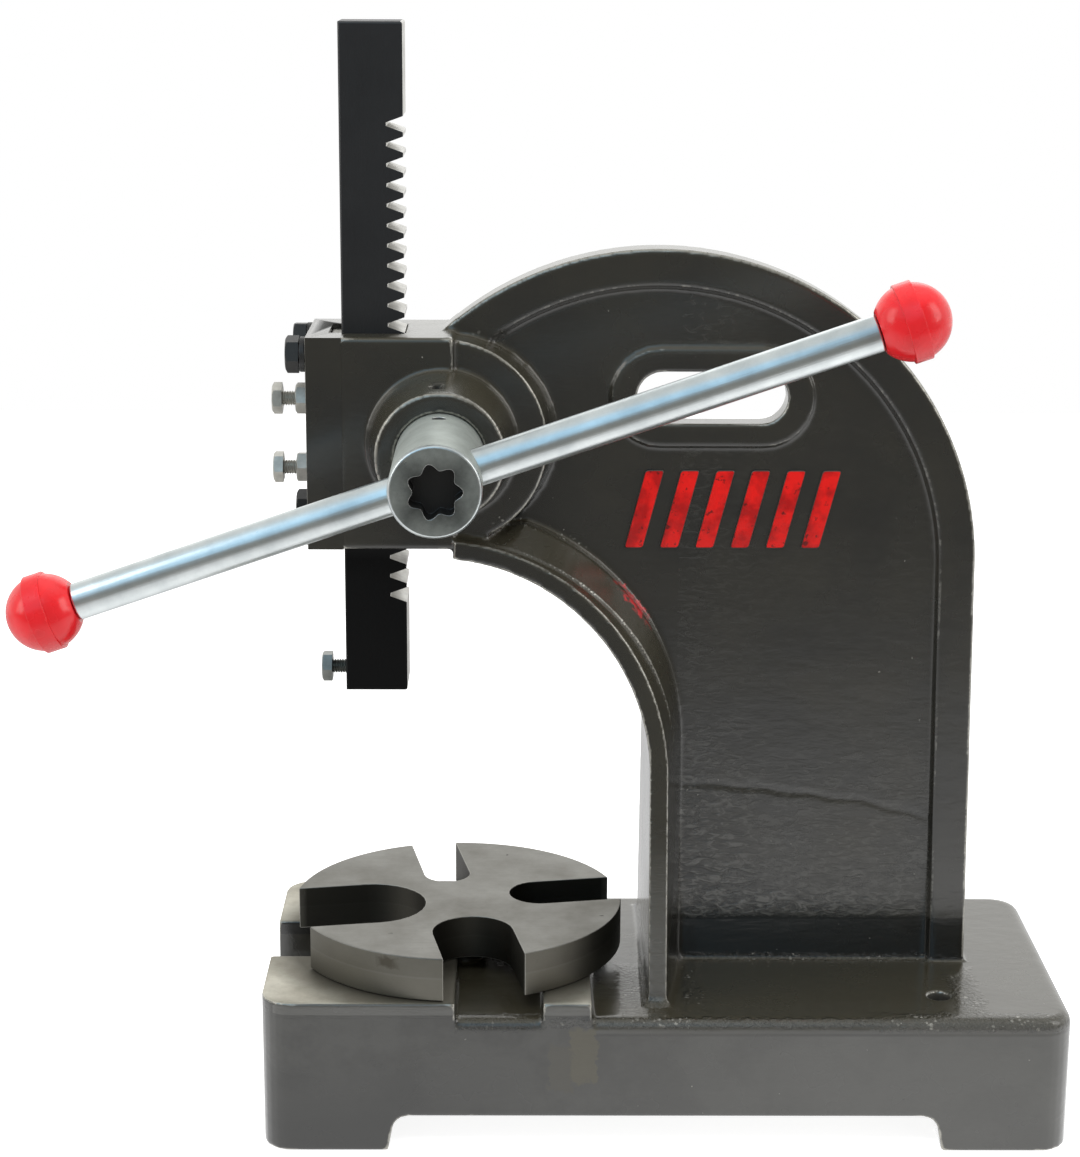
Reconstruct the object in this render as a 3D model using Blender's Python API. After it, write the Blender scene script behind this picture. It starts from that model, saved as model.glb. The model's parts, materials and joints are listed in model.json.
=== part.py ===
import math

import bmesh
import bpy
from mathutils import Matrix, Vector

# Arbor press. Metres, +Z up, +X towards the column, -Y towards the operator.
# The origin is the centre of the arbor plate's top face, on the axis that the plate turns about.

# Clearances
running_gap = 0.00005
seat_gap = 0.0003
overrun = 0.002
merge_gap = 0.000001

# Facets
round_sides = 48
small_sides = 20
rod_sides = 32
flank_steps = 5
flank_step_power = 1.5
hex_sides = 6
corner_steps = 6
arc_steps = 30
smooth_limit = math.radians(35)
quarter = math.pi / 2
full_turn = 2 * math.pi

# Ram and rack
ram_width = 0.025
ram_length = 0.2679
ram_nose_height = 0.0948
ram_chamfer = 0.0006
rack_module = 0.0025
rack_valleys = 25
rack_root_depth = 0.0066
rack_top_margin = 0.0391
pressure_angle = math.radians(20)
rack_backlash = 0.0002
tool_bore_radius = 0.005
tool_bore_depth = 0.022
nose_screw_height = 0.0068
nose_screw_radius = 0.003
nose_screw_flats = 0.0111
nose_screw_head = 0.0042
nose_screw_reach = 0.0105

# Pinion
pinion_teeth = 14
tooth_half_width = 0.015
tooth_overlap = 0.0002
pinion_root_radius = 0.0144
pinion_core_radius = 0.0135
front_journal_radius = 0.0175
front_journal_end = 0.040
rear_journal_radius = 0.0125
rear_journal_end = 0.033
spigot_radius = 0.011
spigot_end = 0.078
undercut_steps = 60

# Lever hub, its pin and the star recess
hub_radius = 0.0174
hub_front = 0.116
hub_chamfer = 0.0012
star_lobes = 7
star_radius = 0.0092
star_swing = 0.0012
star_depth = 0.010
star_steps = 70
hub_pin_radius = 0.0025
hub_pin_place = 0.062
hub_pin_depth = 0.026

# Lever and knobs
lever_place = 0.096
lever_radius = 0.007
lever_tilt = math.radians(19)
lever_left = 0.1544
lever_right = 0.1833
lever_spigot_radius = 0.004
lever_spigot_length = 0.014
lever_chamfer = 0.0006
knob_radius = 0.0145
knob_flat_radius = 0.008
knob_band_half = 0.0033
knob_band_rise = 0.0005
knob_bore_clear = 0.001
knob_steps = 6

# Arbor plate: a slot at each quarter turn, by its width and how near its round end comes to the centre
plate_radius = 0.0688
plate_thickness = 0.0180
plate_turn = math.radians(10.4)
plate_edge = 0.0004
plate_reach = 0.0325
medium_slot_width = 0.0260
medium_slot_end = 0.0223
narrow_slot_width = 0.0195
narrow_slot_end = 0.0198
wide_slot_width = 0.0450
wide_slot_end = 0.0139
large_slot_width = 0.0330
large_slot_end = 0.0224

# Plate pivot pin and its boss in the base
pivot_radius = 0.006
pivot_rise = 0.008
pivot_depth = 0.018
pivot_end_clear = 0.001
pivot_boss_radius = 0.012

# Base
base_nose = 0.0451
base_tail = 0.2815
base_half_width = 0.0700
base_height = 0.0568
base_corner = 0.0125
base_edge = 0.0042
edge_steps = 3
pad_rise = 0.0071
channel_start = 0.0329
channel_width = 0.0351
pad_end = 0.0876
base_slot_width = 0.039
base_slot_end = 0.017
left_foot_end = 0.0057
right_foot_start = 0.2297
arch_height = 0.0148
arch_fillet = 0.0065
arch_draft = 0.0016
foot_hole_x = 0.2302
foot_hole_y = 0.0440
foot_hole_radius = 0.0045

# Head
head_bottom = 0.157
head_height = 0.085
head_half_depth = 0.026
head_step = 0.032
seam_reach = 0.0009
side_set_back = 0.003
side_flare = 0.004
channel_run_out = 0.008
boss_base_radius = 0.0296
boss_tip_radius = 0.0253
boss_length = 0.027
rear_boss_radius = 0.0350
rear_boss_length = 0.004
pinion_bore_clear = 0.002
pinion_end_clear = 0.0008
oil_hole_radius = 0.002
oil_hole_place = 0.044
oil_hole_shift = 0.0012

# Column: web, outer rim, throat flange and hand hole
web_thickness = 0.010
rim_thickness = 0.016
rim_width = 0.0143
rim_draft = 0.003
crown_radius = 0.1301
crown_x = 0.1136
rim_start = 0.022
rim_step = 0.0047125
column_spread = 0.0026
throat_radius = 0.08715
throat_x = 0.02365
throat_z = 0.0665
flange_start = 0.0315
flange_top_half_width = 0.028
flange_foot_half_width = 0.0555
flange_edge = 0.0073
flange_root = 0.014
flange_foot_flare = 0.003
hand_hole_x = 0.1355
hand_hole_z = 0.2152
hand_hole_length = 0.0608
hand_hole_height = 0.0210
hand_pad_length = 0.0835
hand_pad_height = 0.0416
hand_pad_rise = 0.0018
hand_pad_slope = 0.0022

# Ram cover, gib and their fasteners
cover_thickness = 0.0127
gib_thickness = 0.0048
gib_short = 0.002
cover_bolt_rise = 0.0350
cover_bolt_spread = 0.0193
bolt_radius = 0.004
bolt_length = 0.030
bolt_flats = 0.013
bolt_head = 0.0053
washer_radius = 0.0070
washer_thickness = 0.002
washer_slit = math.radians(8)
gib_screw_rise = 0.0141
gib_screw_radius = 0.003
gib_screw_flats = 0.0111
gib_screw_head = 0.004
gib_screw_reach = 0.0153
gib_dimple = 0.001
lock_nut = 0.0056
hex_chamfer = 0.0008
hex_chamfer_share = 0.93

# Rear bearing
bearing_flange_radius = 0.0340
bearing_flange = 0.007
bearing_screw_circle = 0.0285
bearing_screws = 3
bearing_screw_turn = math.radians(45)
bearing_screw_radius = 0.0025
bearing_screw_length = 0.016
bearing_screw_flats = 0.008
bearing_screw_head = 0.0035

# Derived places
ram_x = -plate_reach
ram_half = ram_width / 2
ram_bottom = ram_nose_height
ram_top = ram_bottom + ram_length
pitch = math.pi * rack_module
pitch_radius = rack_module * pinion_teeth / 2
tip_radius = pitch_radius + rack_module
pinion_x = ram_x + ram_half - rack_module + pitch_radius
head_top = head_bottom + head_height
pinion_z = head_bottom + head_height / 2
first_valley = ram_top - rack_top_margin
boss_front = -(head_half_depth + boss_length)
pad_z = -(plate_thickness + seat_gap)
base_top = pad_z - pad_rise
floor_z = base_top - base_height
seam_x = ram_x - ram_half - seam_reach
cover_x = seam_x - cover_thickness
crown_z = head_top - rim_step - math.sqrt(crown_radius ** 2 - (crown_x - rim_start) ** 2)
column_rear = crown_x + crown_radius
throat_wall = throat_x + throat_radius
lever_flat = math.sqrt(knob_radius ** 2 - knob_flat_radius ** 2)


def clear_scene():
    for old in list(bpy.data.objects):
        bpy.data.objects.remove(old, do_unlink=True)


def make_material(name, colour, roughness, metallic):
    material = bpy.data.materials.new(name)
    material.use_nodes = True
    shader = material.node_tree.nodes["Principled BSDF"]
    shader.inputs["Base Color"].default_value = (*colour, 1.0)
    shader.inputs["Roughness"].default_value = roughness
    shader.inputs["Metallic"].default_value = metallic
    material.diffuse_color = (*colour, 1.0)
    return material


def add_object(name, bm, material=None, smooth=False):
    bmesh.ops.remove_doubles(bm, verts=bm.verts, dist=merge_gap)
    bmesh.ops.recalc_face_normals(bm, faces=bm.faces)
    mesh = bpy.data.meshes.new(name)
    bm.to_mesh(mesh)
    bm.free()
    if smooth:
        mesh.shade_smooth()
        mesh.set_sharp_from_angle(angle=smooth_limit)
    thing = bpy.data.objects.new(name, mesh)
    bpy.context.scene.collection.objects.link(thing)
    if material:
        mesh.materials.append(material)
    return thing


def add_empty(name, location, tilt=0):
    empty = bpy.data.objects.new(name, None)
    empty.location = location
    empty.rotation_euler = (0, tilt, 0)
    bpy.context.scene.collection.objects.link(empty)
    return empty


def along(axis, u, v, w):
    """A point by two coordinates across an axis and one along it."""
    return Vector({"X": (w, u, v), "Y": (u, w, v), "Z": (u, v, w)}[axis])


def prism(name, outline, axis, low, high, **look):
    """An outline extruded along an axis."""
    bm = bmesh.new()
    face = bm.faces.new([bm.verts.new(along(axis, u, v, low)) for u, v in outline])
    extruded = bmesh.ops.extrude_face_region(bm, geom=[face])
    risen = [part for part in extruded["geom"] if isinstance(part, bmesh.types.BMVert)]
    bmesh.ops.translate(bm, verts=risen, vec=along(axis, 0, 0, high - low))
    return add_object(name, bm, **look)


def turned(name, profile, axis, centre=(0, 0), sides=round_sides, turn=full_turn, closed=False, **look):
    """A profile of (radius, place along the axis) spun about that axis."""
    bm = bmesh.new()
    verts = [bm.verts.new(along(axis, centre[0] + radius, centre[1], place)) for radius, place in profile]
    loop = verts + verts[:1] if closed else verts
    edges = [bm.edges.new(pair) for pair in zip(loop, loop[1:])]
    whole = turn == full_turn
    geometry = verts + edges
    if not whole:
        geometry = [bm.faces.new(verts)]
    bmesh.ops.spin(bm, geom=geometry, cent=along(axis, *centre, 0), axis=along(axis, 0, 0, 1),
                   angle=turn, steps=sides, use_merge=whole)
    return add_object(name, bm, smooth=True, **look)


def rod(name, axis, centre, radius, low, high, sides=small_sides, **look):
    """A plain round bar or a round cutter."""
    return turned(name, [(0, low), (radius, low), (radius, high), (0, high)], axis, centre, sides, **look)


def lofted(name, rings, **look):
    """Closed rings of points bridged in order and capped at both ends."""
    bm = bmesh.new()
    loops = []
    for ring in rings:
        verts = [bm.verts.new(point) for point in ring]
        loops.append([bm.edges.new(pair) for pair in zip(verts, verts[1:] + verts[:1])])
    for lower, upper in zip(loops, loops[1:]):
        bmesh.ops.bridge_loops(bm, edges=lower + upper)
    for loop in (loops[0], loops[-1]):
        bmesh.ops.contextual_create(bm, geom=loop)
    return add_object(name, bm, **look)


def boolean(target, tool, operation):
    step = target.modifiers.new(tool.name, "BOOLEAN")
    step.operation = operation
    step.solver = "EXACT"
    step.object = tool
    tool.hide_render = True
    tool.display_type = "WIRE"


def join(target, *tools):
    for tool in tools:
        boolean(target, tool, "UNION")


def cut(target, *tools):
    for tool in tools:
        boolean(target, tool, "DIFFERENCE")


def arc(centre, radius, start, end, steps):
    """Points on an arc in a plane, both ends included."""
    turns = [start + (end - start) * step / steps for step in range(steps + 1)]
    return [(centre[0] + radius * math.cos(turn), centre[1] + radius * math.sin(turn)) for turn in turns]


def obround(centre, length, height, steps=corner_steps * 2):
    """A slot outline with round ends, long way along the first coordinate."""
    radius = height / 2
    reach = length / 2 - radius
    right = arc((centre[0] + reach, centre[1]), radius, -quarter, quarter, steps)
    left = arc((centre[0] - reach, centre[1]), radius, quarter, 3 * quarter, steps)
    return right + left


def base_outline(left, right, half_width, left_corner, right_corner):
    """The base seen from above, with round corners at the ends that have a radius."""
    points = []
    corners = ((right, half_width, right_corner, 0), (left, half_width, left_corner, 1),
               (left, -half_width, left_corner, 2), (right, -half_width, right_corner, 3))
    for x, y, radius, turn in corners:
        if not radius:
            points.append((x, y))
            continue
        centre = (x - math.copysign(radius, x - (left + right) / 2), y - math.copysign(radius, y))
        points += arc(centre, radius, turn * quarter, (turn + 1) * quarter, corner_steps)
    return points


def hex_bar(name, axis, centre, flats, low, high, chamfered, **look):
    """A hexagon bar whose far end is chamfered to a circle, as nuts and bolt heads are."""
    corner = flats / math.sqrt(3)
    middle = flats / 2
    direction = math.copysign(hex_chamfer, high - low)
    around = [step * full_turn / (2 * hex_sides) for step in range(2 * hex_sides)]
    radii = [middle if step % 2 else corner for step in range(2 * hex_sides)]
    levels = [(low, 0), (high - direction, 0), (high, 1)] if chamfered else [(low, 0), (high, 0)]
    rings = []
    for place, rounded in levels:
        ring = []
        for turn, radius in zip(around, radii):
            reach = middle * hex_chamfer_share if rounded else radius
            across, up = centre[0] + reach * math.cos(turn), centre[1] + reach * math.sin(turn)
            ring.append(along(axis, across, up, place))
        rings.append(ring)
    return lofted(name, rings, **look)


def slot_cutter(name, width, near_end, far_end, low, high, turn=0, centre=(0, 0)):
    """A cutter for a slot that starts with a round end and runs out along +X, then is turned about Z."""
    radius = width / 2
    points = arc((near_end + radius, 0), radius, quarter, 3 * quarter, arc_steps // 2)
    points += [(far_end, -radius), (far_end, radius)]
    spin = Matrix.Rotation(turn, 2)
    outline = [tuple(spin @ Vector(point) + Vector(centre)) for point in points]
    return prism(name, outline, "Z", low, high)


def build_base_block(iron):
    outline = base_outline(ram_x - base_nose, ram_x + base_tail, base_half_width, base_corner, base_corner)
    bm = bmesh.new()
    face = bm.faces.new([bm.verts.new((x, y, floor_z)) for x, y in outline])
    extruded = bmesh.ops.extrude_face_region(bm, geom=[face])
    risen = [part for part in extruded["geom"] if isinstance(part, bmesh.types.BMVert)]
    bmesh.ops.translate(bm, verts=risen, vec=(0, 0, base_height))
    top = {vert for vert in bm.verts if vert.co.z > base_top - base_height / 2}
    rim = [edge for edge in bm.edges if set(edge.verts) <= top and edge.calc_length() > 0]
    bmesh.ops.bevel(bm, geom=rim, offset=base_edge, segments=edge_steps, profile=0.5, affect="EDGES")
    return add_object("frame_casting", bm, material=iron)


def build_pads():
    sunk = base_top - base_edge
    channel_end = channel_start + channel_width
    left = base_outline(ram_x - base_nose, ram_x + channel_start, base_half_width, base_corner, 0)
    right = base_outline(ram_x + channel_end, ram_x + pad_end, base_half_width, 0, 0)
    left_pad = prism("left_pad_form", left, "Z", sunk, pad_z)
    right_pad = prism("right_pad_form", right, "Z", sunk, pad_z)
    boss = rod("pivot_boss_form", "Z", (0, 0), pivot_boss_radius, sunk, pad_z, round_sides)
    return left_pad, right_pad, boss


def arch_cutter():
    left = ram_x + left_foot_end
    right = ram_x + right_foot_start
    ceiling = floor_z + arch_height
    left_arc = arc((left + arch_draft + arch_fillet, ceiling - arch_fillet), arch_fillet,
                   2 * quarter, quarter, corner_steps)
    right_arc = arc((right - arch_draft - arch_fillet, ceiling - arch_fillet), arch_fillet,
                    quarter, 0, corner_steps)
    sunk = floor_z - overrun
    outline = [(left, sunk), (left, floor_z)] + left_arc + right_arc + [(right, floor_z), (right, sunk)]
    reach = base_half_width + overrun
    return prism("arch_cutter", outline, "Y", -reach, reach)


def crown_path(offset):
    """The column's outer edge, drawn in by an offset: an arc over the top and a line down the back."""
    start = math.acos((rim_start - crown_x) / crown_radius)
    radius = crown_radius - offset
    points = arc((ram_x + crown_x, crown_z), radius, start, 0, arc_steps)
    points.append((ram_x + column_rear + column_spread - offset, base_top - overrun / 2))
    return points


def build_web():
    outer = crown_path(rim_width / 2)
    half_flange = flange_edge / 2
    start = math.acos((flange_start - throat_x) / throat_radius)
    inner = arc((ram_x + throat_x, throat_z), throat_radius + half_flange, 0, start, arc_steps)
    foot = [(ram_x + throat_wall + half_flange, base_top - overrun / 2)]
    half = web_thickness / 2
    return prism("web_form", outer + foot + inner, "Y", -half, half)


def build_rim():
    half = rim_thickness / 2
    face = crown_path(0) + crown_path(rim_width)[::-1]
    sunk = crown_path(0) + crown_path(rim_width + rim_draft)[::-1]
    buried = web_thickness / 2 - rim_draft / 2
    levels = ((-half, face), (-buried, sunk), (buried, sunk), (half, face))
    rings = [[along("Y", x, z, y) for x, z in outline] for y, outline in levels]
    return lofted("rim_form", rings)


def build_flange():
    """The wide throat flange: flat on the throat side, drafted towards the web, wider towards the foot."""
    start = math.acos((flange_start - throat_x) / throat_radius)
    stations = []
    for step in range(arc_steps + 1):
        turn = start * (1 - step / arc_steps)
        ahead = (math.cos(turn), math.sin(turn))
        x = ram_x + throat_x + throat_radius * ahead[0]
        stations.append((x, throat_z + throat_radius * ahead[1], ahead, 0))
    wall = ram_x + throat_wall
    stations.append((wall, base_top + flange_foot_flare, (1, 0), 0))
    stations.append((wall, base_top - overrun / 2, (1, 0), flange_foot_flare))
    top = stations[0][1]
    rings = []
    for x, z, ahead, flare in stations:
        share = (top - z) / (top - base_top)
        half = flange_top_half_width + (flange_foot_half_width - flange_top_half_width) * share + flare
        root = web_thickness / 2 + flange_root - flange_edge
        section = ((-half, -flare), (half, -flare), (half, flange_edge + flare), (root, flange_root + flare),
                   (-root, flange_root + flare), (-half, flange_edge + flare))
        rings.append([Vector((x + ahead[0] * out, y, z + ahead[1] * out)) for y, out in section])
    return lofted("throat_flange_form", rings)


def build_hand_pad():
    centre = (ram_x + hand_hole_x, hand_hole_z)
    top = web_thickness / 2 + hand_pad_rise
    wide = obround(centre, hand_pad_length, hand_pad_height)
    narrow = obround(centre, hand_pad_length - hand_pad_slope, hand_pad_height - hand_pad_slope)
    half = web_thickness / 2 - hand_pad_rise
    levels = ((-top, narrow), (-half, wide), (half, wide), (top, narrow))
    return lofted("hand_pad_form", [[along("Y", x, z, y) for x, z in ring] for y, ring in levels])


def build_head():
    """The deep block round the ram and the shallower round cheek that carries the pinion."""
    step = ram_x + head_step
    block = [(seam_x, head_bottom), (step, head_bottom), (step, head_top), (seam_x, head_top)]
    head = prism("head_form", block, "Y", -head_half_depth, head_half_depth)
    cheek_depth = head_half_depth - side_set_back
    radius = head_height / 2 - overrun / 2
    centre = (pinion_x, pinion_z)
    half_web = web_thickness / 2
    levels = ((-cheek_depth, 0), (-half_web, side_flare), (half_web, side_flare), (cheek_depth, 0))
    rings = []
    for y, flare in levels:
        half_disc = arc((0, 0), 1, -quarter, quarter, arc_steps // 2)
        wide = radius + flare
        rings.append([Vector((pinion_x + wide * u, y, pinion_z + radius * v)) for u, v in half_disc])
    cheek = lofted("cheek_form", rings)
    profile = [(0, boss_front), (boss_tip_radius, boss_front), (boss_base_radius, -head_half_depth),
               (boss_base_radius, 0), (0, 0)]
    boss = turned("boss_form", profile, "Y", centre)
    rear_face = head_half_depth + rear_boss_length
    rear = rod("rear_boss_form", "Y", centre, rear_boss_radius, 0, rear_face, round_sides)
    return head, cheek, boss, rear


def pinion_bores():
    centre = (pinion_x, pinion_z)
    shoulder = -(tooth_half_width + tooth_overlap + pinion_end_clear)
    rear = head_half_depth + rear_boss_length + overrun
    wide = tip_radius + pinion_bore_clear
    narrow = front_journal_radius + running_gap
    front = boss_front - overrun
    profile = [(0, front), (narrow, front), (narrow, shoulder), (wide, shoulder), (wide, rear), (0, rear)]
    bores = turned("pinion_bore_cutter", profile, "Y", centre)
    oil = rod("oil_hole_cutter", "Z", (pinion_x - oil_hole_shift, -oil_hole_place), oil_hole_radius,
              pinion_z + spigot_radius, pinion_z + boss_base_radius + overrun)
    return bores, oil


def channel_cutter():
    right = ram_x + ram_half + running_gap
    left = seam_x - overrun
    half = ram_half + running_gap
    outline = [(left, -half), (right, -half), (right, half), (left, half)]
    return prism("ram_channel_cutter", outline, "Z", head_bottom - channel_run_out, head_top + overrun)


def cover_bolt_places():
    """The four bolt places on the cover, as (Y, Z)."""
    corners = [(side, rise) for rise in (1, -1) for side in (-1, 1)]
    return [(side * cover_bolt_spread, pinion_z + rise * cover_bolt_rise) for side, rise in corners]


def bearing_screw_places():
    """The screws round the rear bearing, as (X, Z)."""
    start = bearing_screw_turn
    return arc((pinion_x, pinion_z), bearing_screw_circle, start, start + full_turn, bearing_screws)[:-1]


def cover_bolt_holes():
    reach = cover_x - washer_thickness + bolt_length + seat_gap + overrun
    return [rod(f"bolt_hole_cutter_{index + 1}", "X", place, bolt_radius + seat_gap, cover_x - overrun, reach)
            for index, place in enumerate(cover_bolt_places())]


def build_frame(iron, bolt_holes):
    frame = build_base_block(iron)
    join(frame, *build_pads(), build_web(), build_rim(), build_flange(), build_hand_pad(), *build_head())
    half_slot = base_slot_width / 2
    slot = slot_cutter("base_slot_cutter", base_slot_width, 0, base_nose + base_slot_end + half_slot,
                       floor_z - overrun, pad_z + overrun, math.pi, (ram_x + base_slot_end, 0))
    cut(frame, arch_cutter(), slot)
    for side in (-1, 1):
        place = (ram_x + foot_hole_x, side * foot_hole_y)
        cut(frame, rod(f"foot_hole_cutter_{side}", "Z", place, foot_hole_radius, floor_z - overrun,
                       base_top + overrun))
    hand = obround((ram_x + hand_hole_x, hand_hole_z), hand_hole_length, hand_hole_height)
    hand_cutter = prism("hand_hole_cutter", hand, "Y", -rim_thickness, rim_thickness)
    pivot = rod("pivot_hole_cutter", "Z", (0, 0), pivot_radius + seat_gap,
                pad_z - pivot_depth - seat_gap, pad_z + overrun)
    cut(frame, hand_cutter, pivot, *bolt_holes)
    rear_face = head_half_depth + rear_boss_length
    for index, place in enumerate(bearing_screw_places()):
        cut(frame, rod(f"bearing_tap_cutter_{index + 1}", "Y", place, bearing_screw_radius + seat_gap,
                       rear_face - bearing_screw_length, rear_face + overrun))
    bores, oil = pinion_bores()
    cut(frame, oil, channel_cutter(), bores)
    return frame


def gib_screw_places():
    return [pinion_z + gib_screw_rise, pinion_z - gib_screw_rise]


def build_cover(iron, bolt_holes):
    right = seam_x - seat_gap
    outline = [(cover_x, head_bottom), (right, head_bottom), (right, head_top), (cover_x, head_top)]
    cover = prism("ram_cover", outline, "Y", -head_half_depth, head_half_depth, material=iron)
    pocket_left = ram_x - ram_half - gib_thickness - seat_gap
    half = ram_half + running_gap
    pocket = [(pocket_left, -half), (right + overrun, -half), (right + overrun, half), (pocket_left, half)]
    gib_pocket = prism("gib_pocket_cutter", pocket, "Z", head_bottom - overrun, head_top + overrun)
    cut(cover, gib_pocket, *bolt_holes)
    for index, place in enumerate(gib_screw_places()):
        cut(cover, rod(f"gib_screw_cutter_{index + 1}", "X", (0, place), gib_screw_radius + seat_gap,
                       cover_x - overrun, seam_x))
    return cover


def build_gib(steel):
    right = ram_x - ram_half - running_gap
    left = ram_x - ram_half - gib_thickness
    half = ram_half - seat_gap
    outline = [(left, -half), (right, -half), (right, half), (left, half)]
    gib = prism("gib_strip", outline, "Z", head_bottom + gib_short, head_top - gib_short, material=steel)
    for index, place in enumerate(gib_screw_places()):
        cut(gib, rod(f"gib_dimple_cutter_{index + 1}", "X", (0, place), gib_screw_radius + seat_gap,
                     left - overrun, left + gib_dimple))
    return gib


def screw(name, axis, place, shank_radius, tip, seat, head, flats, material):
    """A hexagon screw: shank from its tip to under its head, which stands away from the tip."""
    way = math.copysign(1, seat - tip)
    shank = rod(f"{name}_shank_form", axis, place, shank_radius, *sorted((tip, seat + way * head / 2)))
    bolt = hex_bar(name, axis, place, flats, seat, seat + way * head, True, material=material)
    join(bolt, shank)
    return bolt


def build_cover_fasteners(black):
    outer = cover_x - seat_gap
    inner_radius = bolt_radius + seat_gap
    face = outer - washer_thickness
    seat = face - seat_gap
    profile = [(inner_radius, face), (washer_radius, face), (washer_radius, outer), (inner_radius, outer)]
    for index, place in enumerate(cover_bolt_places()):
        turned(f"spring_washer_{index + 1}", profile, "X", place, small_sides, full_turn - washer_slit, True,
               material=black)
        screw(f"cover_bolt_{index + 1}", "X", place, bolt_radius, seat + bolt_length, seat, bolt_head,
              bolt_flats, black)


def build_gib_fasteners(zinc):
    tip = ram_x - ram_half - gib_thickness + gib_dimple - seat_gap
    outer = cover_x - seat_gap
    seat = cover_x - gib_screw_reach + gib_screw_head
    for name, place in zip(("upper", "lower"), gib_screw_places()):
        centre = (0, place)
        screw(f"gib_screw_{name}", "X", centre, gib_screw_radius, tip, seat, gib_screw_head,
              gib_screw_flats, zinc)
        nut = hex_bar(f"lock_nut_{name}", "X", centre, gib_screw_flats, outer, outer - lock_nut, True,
                      material=zinc)
        cut(nut, rod(f"lock_nut_cutter_{name}", "X", centre, gib_screw_radius + seat_gap,
                     outer - lock_nut - overrun, outer + overrun))


def build_rear_bearing(iron, black):
    centre = (pinion_x, pinion_z)
    face = head_half_depth + rear_boss_length + seat_gap
    back = face + bearing_flange
    front = tooth_half_width + tooth_overlap + seat_gap
    bore = rear_journal_radius + running_gap
    body = tip_radius + pinion_bore_clear - seat_gap
    profile = [(bore, front), (body, front), (body, face), (bearing_flange_radius, face),
               (bearing_flange_radius, back), (bore, back)]
    bearing = turned("rear_bearing", profile, "Y", centre, closed=True, material=iron)
    for index, place in enumerate(bearing_screw_places()):
        cut(bearing, rod(f"bearing_hole_cutter_{index + 1}", "Y", place, bearing_screw_radius + seat_gap,
                         face - overrun, back + overrun))
        seat = back + seat_gap
        tip = seat - bearing_screw_length
        screw(f"bearing_screw_{index + 1}", "Y", place, bearing_screw_radius, tip, seat, bearing_screw_head,
              bearing_screw_flats, black)


def build_pivot(steel):
    return rod("plate_pivot", "Z", (0, 0), pivot_radius, pad_z - pivot_depth, pad_z + pivot_rise, rod_sides,
               material=steel)


def build_plate(steel):
    profile = [(0, pad_z + seat_gap), (plate_radius - plate_edge, pad_z + seat_gap),
               (plate_radius, pad_z + seat_gap + plate_edge), (plate_radius, -plate_edge),
               (plate_radius - plate_edge, 0), (0, 0)]
    plate = turned("arbor_plate", profile, "Z", sides=round_sides * 2, material=steel)
    plate.rotation_euler = (0, 0, plate_turn)
    slots = ((medium_slot_width, medium_slot_end), (narrow_slot_width, narrow_slot_end),
             (wide_slot_width, wide_slot_end), (large_slot_width, large_slot_end))
    for index, (width, end) in enumerate(slots):
        tool = slot_cutter(f"plate_slot_cutter_{index + 1}", width, end, plate_radius + overrun,
                           pad_z - overrun, overrun, index * quarter)
        tool.parent = plate
        cut(plate, tool)
    bore = rod("pivot_bore_cutter", "Z", (0, 0), pivot_radius + running_gap, pad_z - overrun,
               pad_z + pivot_rise + pivot_end_clear, rod_sides)
    bore.parent = plate
    cut(plate, bore)
    return plate


def rack_outline():
    """The ram from the front: plain sides and ends, and trapezoid teeth on the side facing the pinion."""
    face = ram_half
    line = face - rack_module
    root = face - rack_root_depth
    slope = math.tan(pressure_angle)
    half_gap = pitch / 4 + rack_backlash
    points = [(-ram_half, ram_bottom), (face - ram_chamfer, ram_bottom), (face, ram_bottom + ram_chamfer)]
    for index in reversed(range(rack_valleys)):
        centre = first_valley - index * pitch
        mouth = half_gap + (face - line) * slope
        bottom = half_gap - (line - root) * slope
        points += [(face, centre - mouth), (root, centre - bottom)]
        points += [(root, centre + bottom), (face, centre + mouth)]
    points += [(face, ram_top - ram_chamfer), (face - ram_chamfer, ram_top), (-ram_half, ram_top)]
    return points


def build_ram(steel, black, parent):
    points = rack_outline()
    left = -ram_half

    def drawn_in(amount):
        """The outline with its plain left side and ends drawn in, for the long chamfers."""
        ring = []
        for x, z in points:
            height = min(max(z, ram_bottom + amount), ram_top - amount)
            ring.append((max(x, left + amount), height))
        return ring

    half = ram_half
    levels = ((-half, ram_chamfer), (ram_chamfer - half, 0), (half - ram_chamfer, 0), (half, ram_chamfer))
    rings = [[along("Y", x, z, y) for x, z in drawn_in(inset)] for y, inset in levels]
    ram = lofted("ram_rack", rings, material=steel)
    ram.parent = parent
    bore = rod("tool_bore_cutter", "Z", (0, 0), tool_bore_radius, ram_bottom - overrun,
               ram_bottom + tool_bore_depth)
    place = (0, ram_bottom + nose_screw_height)
    tap = rod("nose_screw_cutter", "X", place, nose_screw_radius + seat_gap, left - overrun, 0)
    for tool in (bore, tap):
        tool.parent = parent
    cut(ram, bore, tap)
    seat = left - nose_screw_reach + nose_screw_head
    nose = screw("nose_screw", "X", place, nose_screw_radius, -tool_bore_radius, seat, nose_screw_head,
                 nose_screw_flats, black)
    for thing in (nose, nose.modifiers[0].object):
        thing.parent = parent


def space_half_angle(radius):
    """Half the angle between two pinion teeth at a radius, swept by a rack tooth as it rolls past.

    A point of the rack flank that lies at this radius is turned back by the roll that brings it there,
    and the widest such place is the flank of the space, undercut included.
    """
    slope = math.tan(pressure_angle)
    widest = 0
    limit = math.acos(min(1, (pitch_radius - rack_module) / radius))
    for step in range(-undercut_steps, undercut_steps + 1):
        turn = limit * step / undercut_steps
        depth = pitch_radius - radius * math.cos(turn)
        half = pitch / 4 - depth * slope
        roll = (radius * math.sin(turn) - half) / pitch_radius
        widest = max(widest, turn - roll)
    return widest


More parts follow.
